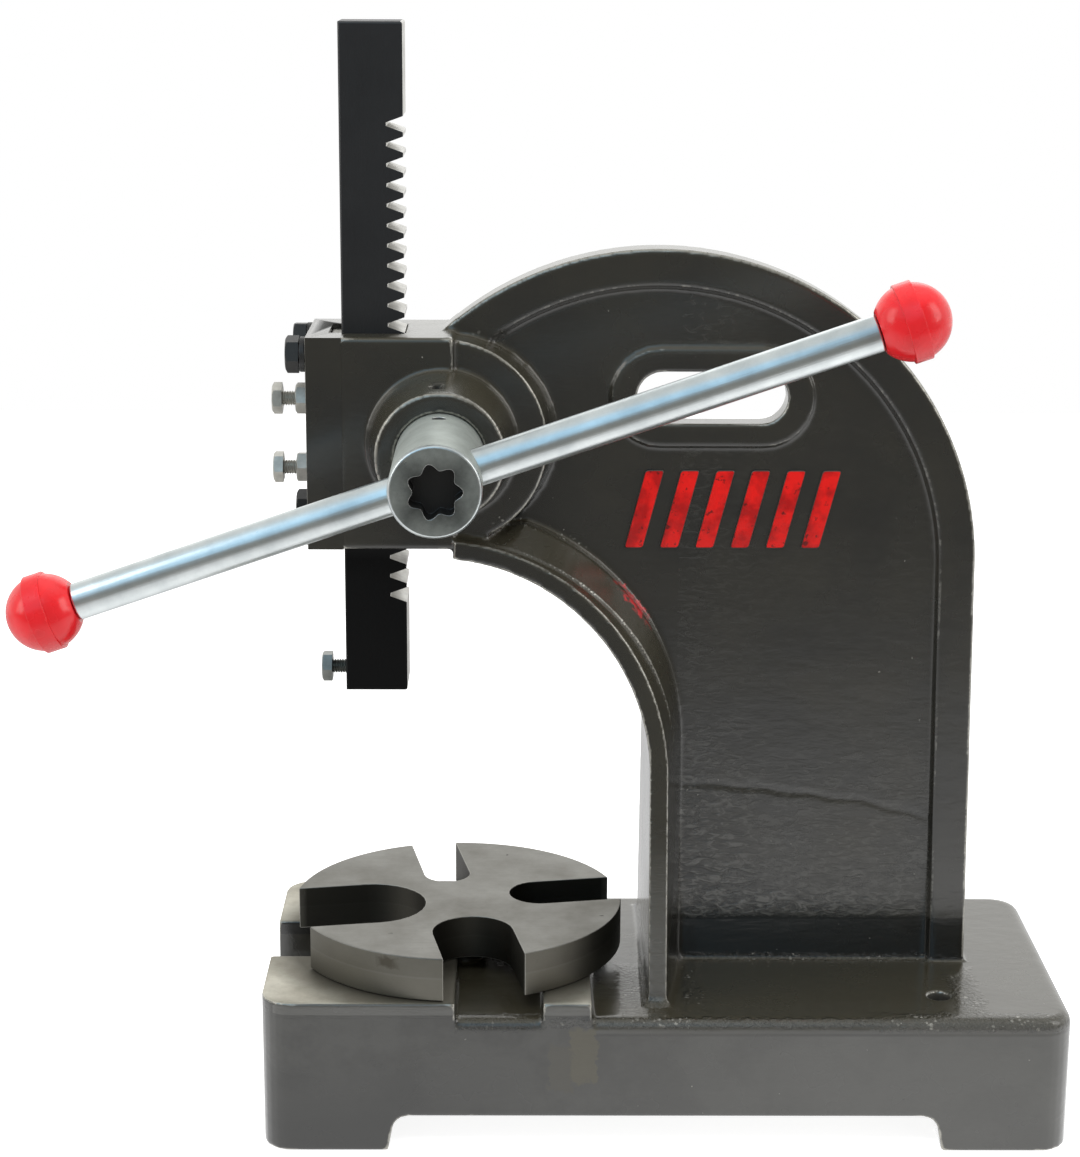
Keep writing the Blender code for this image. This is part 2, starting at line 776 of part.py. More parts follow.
def pinion_outline():
    """The toothed section seen along its axis, with a tooth in the rack's valley."""
    low = pitch_radius - rack_module
    shares = [(step / flank_steps) ** flank_step_power for step in range(flank_steps + 1)]
    radii = [low + (tip_radius - low) * share for share in shares]
    tooth_angle = full_turn / pinion_teeth
    phase = (first_valley - pinion_z) / pitch_radius
    points = []
    for tooth in range(pinion_teeth):
        centre = math.pi - phase + tooth * tooth_angle
        halves = [tooth_angle / 2 - space_half_angle(radius) for radius in radii]
        flank = list(zip(radii, halves))
        rising = [(radius, centre - half) for radius, half in flank]
        falling = [(radius, centre + half) for radius, half in reversed(flank)]
        root = [(pinion_root_radius, centre - tooth_angle / 2)]
        whole = root + rising + falling
        points += [(radius * math.cos(turn), radius * math.sin(turn)) for radius, turn in whole]
    return points


def build_pinion(steel, parent):
    profile = [(0, rear_journal_end), (rear_journal_radius, rear_journal_end),
               (rear_journal_radius, tooth_half_width),
               (pinion_core_radius, tooth_half_width), (pinion_core_radius, -tooth_half_width),
               (front_journal_radius, -tooth_half_width), (front_journal_radius, -front_journal_end),
               (spigot_radius, -front_journal_end), (spigot_radius, -spigot_end), (0, -spigot_end)]
    shaft = turned("pinion_shaft", profile, "Y", material=steel)
    reach = tooth_half_width + tooth_overlap
    teeth = prism("pinion_teeth_form", pinion_outline(), "Y", -reach, reach)
    join(shaft, teeth)
    hole = hub_pin_cutter("spigot_pin_cutter")
    cut(shaft, hole)
    for thing in (shaft, teeth, hole):
        thing.parent = parent


def hub_pin_cutter(name):
    top = hub_radius + overrun
    return rod(name, "Z", (0, -hub_pin_place), hub_pin_radius + seat_gap,
               hub_radius - hub_pin_depth - seat_gap * 2, top)


def star_outline():
    turns = [step * full_turn / star_steps for step in range(star_steps)]
    return [((star_radius + star_swing * math.cos(star_lobes * turn)) * math.cos(turn),
             (star_radius + star_swing * math.cos(star_lobes * turn)) * math.sin(turn)) for turn in turns]


def build_hub(zinc, black, parent, lever_axis):
    rear = -(front_journal_end + seat_gap)
    bottom = -(spigot_end + seat_gap)
    bore = spigot_radius + seat_gap
    profile = [(bore, rear), (hub_radius, rear), (hub_radius, -(hub_front - hub_chamfer)),
               (hub_radius - hub_chamfer, -hub_front), (0, -hub_front), (0, bottom), (bore, bottom)]
    hub = turned("lever_hub", profile, "Y", closed=True, material=zinc)
    star = prism("star_cutter", star_outline(), "Y", -(hub_front + overrun), -(hub_front - star_depth))
    hole = hub_pin_cutter("hub_pin_cutter")
    cross = rod("lever_hole_cutter", "X", (0, 0), lever_radius + running_gap, -hub_radius - overrun,
                hub_radius + overrun, rod_sides)
    cross.parent = lever_axis
    cut(hub, star, hole, cross)
    pin = rod("hub_pin", "Z", (0, -hub_pin_place), hub_pin_radius, hub_radius - hub_pin_depth,
              hub_radius - seat_gap, material=black)
    for thing in (hub, star, hole, pin):
        thing.parent = parent


def knob_profile(side):
    """The ball's outline along the lever, from the flat at the rod to the far pole and back up the bore."""
    start = math.asin(knob_flat_radius / knob_radius)
    band = math.asin(knob_band_half / knob_radius)
    outer = knob_radius + knob_band_rise
    bore = lever_spigot_radius + seat_gap
    depth = lever_flat - lever_spigot_length - knob_bore_clear
    points = [(bore, lever_flat)]
    for step in range(knob_steps + 1):
        turn = start + (quarter - band - start) * step / knob_steps
        points.append((knob_radius * math.sin(turn), knob_radius * math.cos(turn)))
    shoulder = outer * math.cos(band)
    points += [(shoulder, knob_band_half), (outer, 0), (shoulder, -knob_band_half)]
    for step in range(knob_steps + 1):
        turn = quarter + band + (quarter - band) * step / knob_steps
        points.append((knob_radius * math.sin(turn), knob_radius * math.cos(turn)))
    points[-1] = (0, -knob_radius)
    points += [(0, depth), (bore, depth)]
    return [(radius, -side * place) for radius, place in points]


def build_lever(chrome, red, parent):
    left = -(lever_left - lever_flat - seat_gap)
    right = lever_right - lever_flat - seat_gap
    tip = lever_spigot_length
    profile = [(0, left - tip), (lever_spigot_radius, left - tip), (lever_spigot_radius, left),
               (lever_radius - lever_chamfer, left), (lever_radius, left + lever_chamfer),
               (lever_radius, right - lever_chamfer), (lever_radius - lever_chamfer, right),
               (lever_spigot_radius, right), (lever_spigot_radius, right + tip), (0, right + tip)]
    bar = turned("lever_rod", profile, "X", sides=rod_sides, material=chrome)
    bar.parent = parent
    for name, place, side in (("left_knob", -lever_left, -1), ("right_knob", lever_right, 1)):
        knob = turned(name, knob_profile(side), "X", sides=rod_sides, closed=True, material=red)
        knob.location = (place, 0, 0)
        knob.parent = parent


def build_press():
    clear_scene()
    painted = make_material("painted_iron", (0.028, 0.029, 0.026), 0.28, 0.0)
    ground = make_material("ground_steel", (0.42, 0.41, 0.38), 0.38, 1.0)
    oxide = make_material("black_oxide_steel", (0.02, 0.022, 0.026), 0.35, 0.6)
    zinc = make_material("zinc_plate", (0.52, 0.54, 0.53), 0.30, 1.0)
    bright = make_material("bright_plate", (0.66, 0.70, 0.74), 0.18, 1.0)
    red = make_material("red_plastic", (0.72, 0.02, 0.025), 0.22, 0.0)
    ram_axis = add_empty("ram_axis", (ram_x, 0, 0))
    pinion_axis = add_empty("pinion_axis", (pinion_x, 0, pinion_z))
    lever_axis = add_empty("lever_axis", (0, -lever_place, 0), -lever_tilt)
    lever_axis.parent = pinion_axis
    bolt_holes = cover_bolt_holes()
    build_frame(painted, bolt_holes)
    build_cover(painted, bolt_holes)
    build_gib(ground)
    build_cover_fasteners(oxide)
    build_gib_fasteners(zinc)
    build_rear_bearing(painted, oxide)
    build_pivot(ground)
    build_plate(ground)
    build_ram(oxide, oxide, ram_axis)
    build_pinion(ground, pinion_axis)
    build_hub(zinc, oxide, pinion_axis, lever_axis)
    build_lever(bright, red, lever_axis)


build_press()
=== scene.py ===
import bpy
import bmesh
import json
import math
import numpy as np
from mathutils import Matrix, Vector


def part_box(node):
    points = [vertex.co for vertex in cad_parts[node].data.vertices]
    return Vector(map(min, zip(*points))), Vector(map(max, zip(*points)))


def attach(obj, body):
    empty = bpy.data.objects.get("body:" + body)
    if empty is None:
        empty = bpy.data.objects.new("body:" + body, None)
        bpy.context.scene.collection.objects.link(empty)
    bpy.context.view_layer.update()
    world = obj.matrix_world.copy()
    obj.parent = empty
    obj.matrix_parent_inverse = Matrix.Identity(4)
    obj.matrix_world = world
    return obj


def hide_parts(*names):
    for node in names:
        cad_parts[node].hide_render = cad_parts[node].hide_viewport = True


# Arbor press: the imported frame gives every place, this script gives every surface.
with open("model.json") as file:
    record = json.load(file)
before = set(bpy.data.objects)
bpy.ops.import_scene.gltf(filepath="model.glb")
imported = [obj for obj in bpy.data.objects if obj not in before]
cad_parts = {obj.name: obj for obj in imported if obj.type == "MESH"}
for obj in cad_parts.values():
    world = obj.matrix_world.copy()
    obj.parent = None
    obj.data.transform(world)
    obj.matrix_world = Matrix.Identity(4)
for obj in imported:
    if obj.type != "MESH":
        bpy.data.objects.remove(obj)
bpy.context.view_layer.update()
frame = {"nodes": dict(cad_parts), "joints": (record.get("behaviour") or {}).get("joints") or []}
nodes = frame["nodes"]
print("frame loaded:", len(nodes), "nodes")

fullTurn = 2 * math.pi
seatGap = 0.0003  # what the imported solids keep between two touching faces


def middle(node):
    low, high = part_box(node)
    return (low + high) / 2


def jointOf(name):
    return next(joint for joint in frame["joints"] if joint["name"] == name)


# places that several pieces need, all read from the frame
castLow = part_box("frame_casting")[0]
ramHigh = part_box("ram_rack")[1]
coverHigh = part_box("ram_cover")[1]
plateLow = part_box("arbor_plate")[0]
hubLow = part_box("lever_hub")[0]
floorZ = castLow.z
padZ = plateLow.z - seatGap
pinionAxis = Vector(jointOf("pinion_turn")["pos_m"])
leverWay = Vector(jointOf("lever_slide")["axis"]).normalized()
leverTilt = math.atan2(leverWay.z, leverWay.x)
ramX = -0.0325

# Node tree helpers, which all work in the tree that newMaterial or newGroup opened last

opened = {"tree": None}


def newMaterial(name):
    material = bpy.data.materials.new(name)
    material.use_nodes = True
    opened["tree"] = material.node_tree
    return material, material.node_tree.nodes["Principled BSDF"]


def newGroup(name, inputs, outputs):
    group = bpy.data.node_groups.new(name, "ShaderNodeTree")
    opened["tree"] = group
    for label, value in inputs.items():
        kind = "NodeSocketFloat" if isinstance(value, float) else "NodeSocketVector"
        group.interface.new_socket(label, in_out="INPUT", socket_type=kind).default_value = value
    for label in outputs:
        group.interface.new_socket(label, in_out="OUTPUT", socket_type="NodeSocketFloat")
    return group, addNode("NodeGroupInput").outputs, addNode("NodeGroupOutput").inputs


def addNode(kind, **settings):
    node = opened["tree"].nodes.new(kind)
    for key, value in settings.items():
        setattr(node, key, value)
    return node


def feed(value, socket):
    # links a socket, or writes a plain value
    if isinstance(value, bpy.types.NodeSocket):
        opened["tree"].links.new(value, socket)
    else:
        socket.default_value = value


def wired(node, values, places=None, output=0):
    # feeds the values to the node's sockets and gives back one of its outputs
    for place, value in zip(places or range(len(values)), values):
        feed(value, node.inputs[place])
    return node.outputs[output]


def calc(operation, *values):
    return wired(addNode("ShaderNodeMath", operation=operation), values)


def vectorCalc(operation, *values):
    return wired(addNode("ShaderNodeVectorMath", operation=operation), values)


def absolute(value):
    return calc("ABSOLUTE", value)


def above(value, limit):
    return calc("GREATER_THAN", value, limit)


def under(value, limit):
    return calc("LESS_THAN", value, limit)


def scaledSum(value, factor, rest):
    return calc("MULTIPLY_ADD", value, factor, rest)


def product(first, *others):
    for other in others:
        first = calc("MULTIPLY", first, other)
    return first


def largest(first, *others):
    for other in others:
        first = calc("MAXIMUM", first, other)
    return first


def ramp(value, fromLow, fromHigh, toLow=0.0, toHigh=1.0):
    return wired(addNode("ShaderNodeMapRange", clamp=True), (value, fromLow, fromHigh, toLow, toHigh))


def fade(value, fromLow, fromHigh):
    return ramp(value, fromLow, fromHigh, 1.0, 0.0)


def blend(factor, first, second):
    return wired(addNode("ShaderNodeMix", data_type="RGBA"), (factor, first, second), (0, 6, 7), 2)


def blendValue(factor, first, second):
    return wired(addNode("ShaderNodeMix", data_type="FLOAT"), (factor, first, second), (0, 2, 3))


def noise(vector, scale, detail=2.0, roughness=0.5, distortion=0.0, output=0):
    return wired(addNode("ShaderNodeTexNoise"), (vector, scale, detail, roughness, distortion),
                 ("Vector", "Scale", "Detail", "Roughness", "Distortion"), output)


def bump(height, distance):
    return wired(addNode("ShaderNodeBump"), (height, distance), ("Height", "Distance"))


def scaledVector(vector, factor):
    return wired(addNode("ShaderNodeVectorMath", operation="SCALE"), (vector, factor), ("Vector", "Scale"))


def lengthOf(vector):
    return wired(addNode("ShaderNodeVectorMath", operation="LENGTH"), (vector,), output="Value")


def split(vector):
    node = addNode("ShaderNodeSeparateXYZ")
    feed(vector, node.inputs[0])
    return node.outputs


def objectVector():
    return addNode("ShaderNodeTexCoord").outputs["Object"]


def surfaceNormal():
    return split(addNode("ShaderNodeNewGeometry").outputs["Normal"])


def wearMask(vector, scale):
    wear = addNode("ShaderNodeAttribute", attribute_name="wear").outputs["Fac"]
    return useGroup(edgeWear, Vector=vector, Wear=wear, Scale=scale)["Mask"]


def fill(node, values):
    for label, value in values.items():
        feed(value, node.inputs[label])
    return node.outputs


def useGroup(group, **values):
    return fill(addNode("ShaderNodeGroup", node_tree=group), values)


def rgb(red, green, blue):
    return (red, green, blue, 1.0)


# Shared effects, each a node group with its own sizes

origin = (0.0, 0.0, 0.0)
centred = (0.5, 0.5, 0.5)  # the mean of a noise's colour


def castSkinGroup():
    # lumps and orange peel of enamel over sand-cast iron, longer along X than Z
    group, source, result = newGroup("castSkin", {
        "Vector": origin, "Lump": 55.0, "Peel": 240.0}, ["Height", "Tone"])
    stretched = vectorCalc("MULTIPLY", source["Vector"], (0.55, 0.8, 1.5))
    lumps = noise(stretched, source["Lump"], 3.0, 0.55, 0.4)
    peel = noise(stretched, source["Peel"], 2.0, 0.5)
    grain = noise(source["Vector"], product(source["Peel"], 4.0), 1.0)
    feed(scaledSum(grain, 0.05, scaledSum(peel, 0.3, lumps)), result["Height"])
    feed(noise(source["Vector"], product(source["Lump"], 0.35), 4.0, 0.6), result["Tone"])
    return group


def specksGroup():
    # small dots gathered in loose swarms: bright ones on the enamel are partly chips and burst bubbles in
    # the skin, partly painted glints on its lumps; dark ones are pits
    group, source, result = newGroup("specks", {
        "Vector": origin, "Scale": 260.0, "Amount": 0.1, "Size": 0.1}, ["Mask"])
    drift = noise(source["Vector"], product(source["Scale"], 2.2), 2.0, output=1)
    bent = scaledVector(vectorCalc("SUBTRACT", drift, centred), calc("DIVIDE", 0.55, source["Scale"]))
    cells = addNode("ShaderNodeTexVoronoi", feature="F1")
    feed(vectorCalc("ADD", source["Vector"], bent), cells.inputs["Vector"])
    feed(source["Scale"], cells.inputs["Scale"])
    chance = split(cells.outputs["Color"])
    reach = product(source["Size"], ramp(chance[1], 0.0, 1.0, 0.4, 1.3))
    dots = ramp(cells.outputs["Distance"], product(reach, 0.6), reach, 1.0, 0.0)
    swarm = ramp(noise(source["Vector"], product(source["Scale"], 0.07), 2.0), 0.42, 0.66, 0.15, 2.2)
    chosen = under(chance[0], product(source["Amount"], swarm))
    feed(product(dots, chosen, ramp(chance[2], 0.0, 1.0, 0.35, 1.0)), result["Mask"])
    return group


def edgeWearGroup():
    # a wear value broken up by noise, so that a worn edge is patchy and not a clean line
    group, source, result = newGroup("edgeWear", {
        "Vector": origin, "Wear": 0.0, "Scale": 220.0, "Low": 0.45, "High": 0.75}, ["Mask"])
    uneven = noise(source["Vector"], source["Scale"], 3.0, 0.65)
    raised = product(source["Wear"], calc("ADD", uneven, 0.5))
    feed(ramp(raised, source["Low"], source["High"]), result["Mask"])
    return group


def machiningGroup():
    # fine parallel tool marks: noise drawn out along one direction by its scale
    group, source, result = newGroup("machining", {
        "Vector": origin, "Stretch": (40.0, 1500.0, 1500.0), "Stain": 30.0}, ["Height", "Tone"])
    drawn = vectorCalc("MULTIPLY", source["Vector"], source["Stretch"])
    feed(noise(drawn, 1.0, 3.0, 0.6), result["Height"])
    feed(noise(source["Vector"], source["Stain"], 5.0, 0.65), result["Tone"])
    return group


def patchGroup():
    # one patch round a centre, its outline frayed by noise
    group, source, result = newGroup("patch", {
        "Vector": origin, "Centre": origin, "Half": (0.01, 0.01, 0.01), "Fray": 0.002,
        "Soft": 0.15}, ["Mask"])
    drift = vectorCalc("SUBTRACT", noise(source["Vector"], 260.0, 3.0, 0.6, output=1), centred)
    drift = scaledVector(drift, product(source["Fray"], 4.0))
    moved = vectorCalc("ADD", vectorCalc("SUBTRACT", source["Vector"], source["Centre"]), drift)
    share = split(vectorCalc("DIVIDE", vectorCalc("ABSOLUTE", moved), source["Half"]))
    outermost = largest(share[0], share[1], share[2])
    feed(fade(outermost, calc("SUBTRACT", 1.0, source["Soft"]), 1.0), result["Mask"])
    return group


def arcBandGroup():
    # a thin ring in the XZ plane, its radius disturbed by noise
    group, source, result = newGroup("arcBand", {
        "Vector": origin, "Centre": origin, "Radius": 0.05, "Half": 0.001, "Fray": 0.001}, ["Mask"])
    offset = vectorCalc("SUBTRACT", source["Vector"], source["Centre"])
    reach = lengthOf(vectorCalc("MULTIPLY", offset, (1.0, 0.0, 1.0)))
    drift = calc("SUBTRACT", noise(source["Vector"], 300.0, 3.0, 0.6), 0.5)
    moved = scaledSum(drift, product(source["Fray"], 4.0), reach)
    away = absolute(calc("SUBTRACT", moved, source["Radius"]))
    feed(fade(away, product(source["Half"], 0.5), source["Half"]), result["Mask"])
    return group


wearScale = {"casting": 260.0, "cover": 300.0, "metal": 400.0}
castSkin = castSkinGroup()
specks = specksGroup()
edgeWear = edgeWearGroup()
machining = machiningGroup()
patch = patchGroup()
arcBand = arcBandGroup()

# Painted iron

castTop = padZ - 0.0071  # the base's painted top
throatCentre = (-0.00885, 0.0, 0.0665)
enamelLook = {
    "dark": rgb(0.0162, 0.016, 0.0136), "warm": rgb(0.026, 0.0235, 0.016),
    "olive": rgb(0.05, 0.0445, 0.0285), "faded": rgb(0.046, 0.0455, 0.04),
    "cloudy": rgb(0.03, 0.0295, 0.0255), "pale": rgb(0.12, 0.118, 0.108),
    "worn": rgb(0.36, 0.35, 0.31), "darkTone": rgb(0.008, 0.008, 0.007), "lump": 55.0, "peel": 240.0,
    "tone": (0.4, 0.75), "glossTone": (0.35, 0.7), "gloss": (0.22, 0.32), "bump": 0.00048, "coat": 0.9,
    "coatHigh": (0.0, 0.12), "coatRough": (0.15, 0.24), "calmHigh": (0.02, 0.13), "calm": 0.45,
}
coverLook = {"lump": 70.0, "peel": 300.0, "gloss": (0.24, 0.34), "bump": 0.00016, "coat": 0.9,
             "coatRough": 0.16, "wornShare": 0.6, "wornMetal": 0.4}
speckSet = {"scattered": (230.0, 0.095, 0.075), "crowded": (520.0, 0.95, 0.4), "pits": (210.0, 0.07, 0.15)}
padSet = {  # the two machined pads that the plate lies on
    "end": 0.0551, "band": 0.0005, "bare": rgb(0.68, 0.65, 0.56), "stained": rgb(0.4, 0.37, 0.3),
    "grimeAndShadow": rgb(0.09, 0.082, 0.062), "grimeAndShadowShare": 0.88, "grimeAndShadowFrom": 0.07, "grimeAndShadowTo": 0.086,
    "marks": (60.0, 1800.0, 1800.0), "stain": 45.0, "metal": 0.8, "rough": 0.58,
}
webSet = {  # the sunk web: wavelets in its paint low down, drawn out along X
    "left": 0.0905, "front": -0.0062, "foot": (-0.0075, -0.0055), "stretch": (0.5, 1.0, 1.35),
    "scale": 360.0, "high": (0.008, 0.085), "across": (0.098, 0.13), "line": -0.001,
    "lineReach": (0.002, 0.012), "rise": 2.6,
}
sideSet = {  # the base's sides: where they begin, where they are cloudy, their painted highlight to the right and under the top edge, and their painted shade in the left corner
    "top": castTop - 0.0072, "topSoft": castTop - 0.006, "padEnd": (0.05, 0.056), "front": 0.067,
    "leftEnd": -0.072, "cloudScale": 32.0, "paleFrom": 0.03, "paleTo": 0.15, "pale": 0.42,
    "cornerAcross": (-0.02, 0.04), "cornerHigh": (-0.072, -0.036), "corner": 0.95, "pits": 0.8,
    "edgeHighlight": 0.42, "edgeHighlightLow": (castTop - 0.0064, castTop - 0.0054),
    "edgeHighlightHigh": (castTop - 0.0016, castTop - 0.0004),
}
flangeLook = {  # the front edge of the throat flange, the web's painted reflection low down, and the column's foot with its painted reflection of the dark base
    "front": (-0.047, -0.038), "high": (0.0, 0.045), "pale": 0.62, "chatterFront": -0.031,
    "chatterHigh": (0.03, 0.07), "chatter": (150.0, 150.0, 1100.0), "chatterRise": 0.6,
    "filletFront": -0.0085, "nearLow": (-0.0062, -0.0052), "nearHigh": (0.0, 0.034), "near": 0.22,
    "footHigh": (-0.007, -0.0052), "foot": 0.85,
}
oilHoleShadeSet = {"centre": (-0.0063, -0.044, 0.227), "half": (0.0034, 0.006, 0.004), "share": 0.9}
smearSet = {
    "olive": {"centre": (0.052, -0.07, -0.041), "half": (0.006, 0.004, 0.012),
              "colour": rgb(0.075, 0.066, 0.038)},
    "grey": {"centre": (0.0425, -0.07, -0.046), "half": (0.005, 0.004, 0.011),
             "colour": rgb(0.052, 0.048, 0.034)},
}
streakSet = {"centre": (0.0735, -0.015, 0.134), "half": (0.0095, 0.02, 0.0125), "radius": 0.1042,
             "width": 0.0011, "colour": rgb(0.62, 0.03, 0.035)}
swarmSet = {
    "footLine": {"centre": (0.15, -0.006, -0.025), "half": (0.07, 0.0026, 0.0022)},
    "flangeFoot": {"centre": (0.0975, -0.035, -0.022), "half": (0.0045, 0.028, 0.006)},
    "frontEdge": {"centre": (0.208, -0.0675, -0.0268), "half": (0.045, 0.0055, 0.0036)},
    "wholeEdge": {"centre": (0.13, -0.069, -0.0265), "half": (0.12, 0.003, 0.0022)},
    "roughTop": {"centre": (0.209, -0.044, -0.0254), "half": (0.007, 0.03, 0.002)},
    "roughFoot": {"centre": (0.076, -0.04, -0.0254), "half": (0.01, 0.03, 0.003)},
    "slotLip": {"centre": (0.018, -0.068, -0.0265), "half": (0.019, 0.0045, 0.0035)},
}
ringSet = {  # bands of specks, partly painted glints, along the rounded roots of the cheek and of the throat flange
    "cheek": {"centre": (pinionAxis.x, 0.0, pinionAxis.z), "radius": 0.045, "half": 0.0022,
              "box": {"centre": (0.025, -0.02, 0.22), "half": (0.025, 0.016, 0.025)}},
    "throat": {"centre": throatCentre, "radius": 0.105, "half": 0.002,
               "box": {"centre": (0.038, -0.015, 0.158), "half": (0.033, 0.02, 0.025)}},
}


def patchOver(vector, look, **values):
    return useGroup(patch, Vector=vector, Centre=look["centre"], Half=look["half"], **values)["Mask"]


def ringOver(vector, look):
    ring = useGroup(arcBand, Vector=vector, Centre=look["centre"], Radius=look["radius"], Half=look["half"])
    return product(ring["Mask"], patchOver(vector, look["box"], Soft=0.4))


def specksOver(vector, scale, amount, size):
    return useGroup(specks, Vector=vector, Scale=scale, Amount=amount, Size=size)["Mask"]


def webWaves(vector):
    # the wavelets, and how strong they are at each place
    look = webSet
    x, y, z = split(vector)
    waves = noise(vectorCalc("MULTIPLY", vector, look["stretch"]), look["scale"], 3.0, 0.55, 1.2)
    low = product(ramp(z, *look["high"], 1.0, 0.12), ramp(x, *look["across"], 1.0, 0.3))
    line = ramp(absolute(calc("SUBTRACT", z, look["line"])), *look["lineReach"], 0.9, 0.0)
    line = product(line, ramp(x, 0.1, 0.2, 1.0, 0.5))
    on = product(above(x, look["left"]), above(y, look["front"]), ramp(z, *look["foot"]))
    return waves, product(largest(low, line), on)


def enamelHeight(vector, skin, dots, waves, low, rough):
    # lumps fade out up the column; chatter lies on the throat flange's front edge
    look = flangeLook
    y, z = split(vector)[1:3]
    height = product(skin["Height"], ramp(z, *enamelLook["calmHigh"], 1.0, enamelLook["calm"]))
    height = scaledSum(waves, product(low, webSet["rise"]), height)
    ribs = noise(vectorCalc("MULTIPLY", vector, look["chatter"]), 1.0, 2.0, 0.6)
    edge = product(under(y, look["chatterFront"]), fade(z, *look["chatterHigh"]),
                   above(z, castTop + 0.0006))
    height = scaledSum(ribs, product(edge, look["chatterRise"]), height)
    height = scaledSum(noise(vector, 620.0, 2.0, 0.6), product(rough, 4.0), height)
    return scaledSum(dots, 0.5, height)


def sidePaint(vector, x, z):
    # faded and cloudy on the base's sides; paler to the right, a painted highlight, and dark low in the left
    # corner, a painted shade
    look, colours = sideSet, enamelLook
    cloud = noise(vector, look["cloudScale"], 4.0, 0.62)
    side = blend(ramp(cloud, 0.43, 0.57), colours["cloudy"], colours["faded"])
    # paler to the right: painted highlight
    side = blend(ramp(x, look["paleFrom"], look["paleTo"], 0.0, look["pale"]), side, colours["pale"])
    # dark low in the left corner: painted shade
    corner = product(fade(x, *look["cornerAcross"]), fade(z, *look["cornerHigh"]), look["corner"])
    side = blend(corner, side, colours["dark"])
    return blend(product(specksOver(vector, *speckSet["pits"]), look["pits"]), side, colours["darkTone"])


def enamelPaint(vector, skin, waves, low):
    # dark on upright faces, olive on faces turned up: partly dust, partly painted light where light falls on
    # them
    look, colours, flange = sideSet, enamelLook, flangeLook
    x, y, z = split(vector)
    normal = surfaceNormal()
    paint = blend(ramp(skin["Tone"], *colours["tone"]), colours["dark"], colours["warm"])
    # olive on faces turned up: partly dust, partly painted light
    paint = blend(ramp(normal[2], -0.02, 0.5), paint, colours["olive"])
    outside = largest(above(absolute(y), look["front"]), under(x, look["leftEnd"]))
    besidePads = product(fade(x, *look["padEnd"]), outside, under(absolute(normal[2]), 0.6),
                         under(z, padZ - 0.0006))
    below = largest(fade(z, look["top"], look["topSoft"]), besidePads)
    paint = blend(below, paint, sidePaint(vector, x, z))
    # paler band just under the base's top edge, right of the pads: painted highlight of the rounded edge
    edgeHighlight = product(ramp(x, *look["padEnd"]), ramp(z, *look["edgeHighlightLow"]), fade(z, *look["edgeHighlightHigh"]))
    paint = blend(product(edgeHighlight, look["edgeHighlight"]), paint, colours["pale"])
    edge = product(fade(y, *flange["front"]), fade(z, *flange["high"]), above(z, castTop + 0.002),
                   under(normal[1], -0.8))
    paint = blend(product(edge, flange["pale"]), paint, colours["pale"])
    inward = above(y, flange["filletFront"])
    # lighter low on the web: a painted reflection of the base and floor
    near = product(ramp(z, *flange["nearLow"]), fade(z, *flange["nearHigh"]), above(x, webSet["left"]),
                   inward)
    paint = blend(product(near, flange["near"]), paint, colours["pale"])
    # near black at the column's foot: a painted reflection of the dark base
    foot = product(ramp(z, *flange["footHigh"], flange["foot"], 0.0), above(z, castTop + 0.001), inward)
    paint = blend(foot, paint, colours["darkTone"])
    # pale on the wavelets' crests and near black in their troughs: painted highlight and painted shade
    paint = blend(product(ramp(waves, 0.52, 0.62), low), paint, colours["pale"])
    return blend(product(ramp(waves, 0.49, 0.4), low), paint, colours["darkTone"])


def padSteel(vector):
    # bare machined iron, darker where the plate turns over it: grime and a painted shadow of the plate
    look = padSet
    marks = useGroup(machining, Vector=vector, Stretch=look["marks"], Stain=look["stain"])
    steel = blend(ramp(marks["Tone"], 0.35, 0.7), look["bare"], look["stained"])
    reach = lengthOf(vectorCalc("MULTIPLY", vector, (1.0, 1.0, 0.0)))
    # darker round the plate's edge: grime and painted shadow
    return blend(ramp(reach, look["grimeAndShadowFrom"], look["grimeAndShadowTo"], look["grimeAndShadowShare"], 0.0), steel, look["grimeAndShadow"])


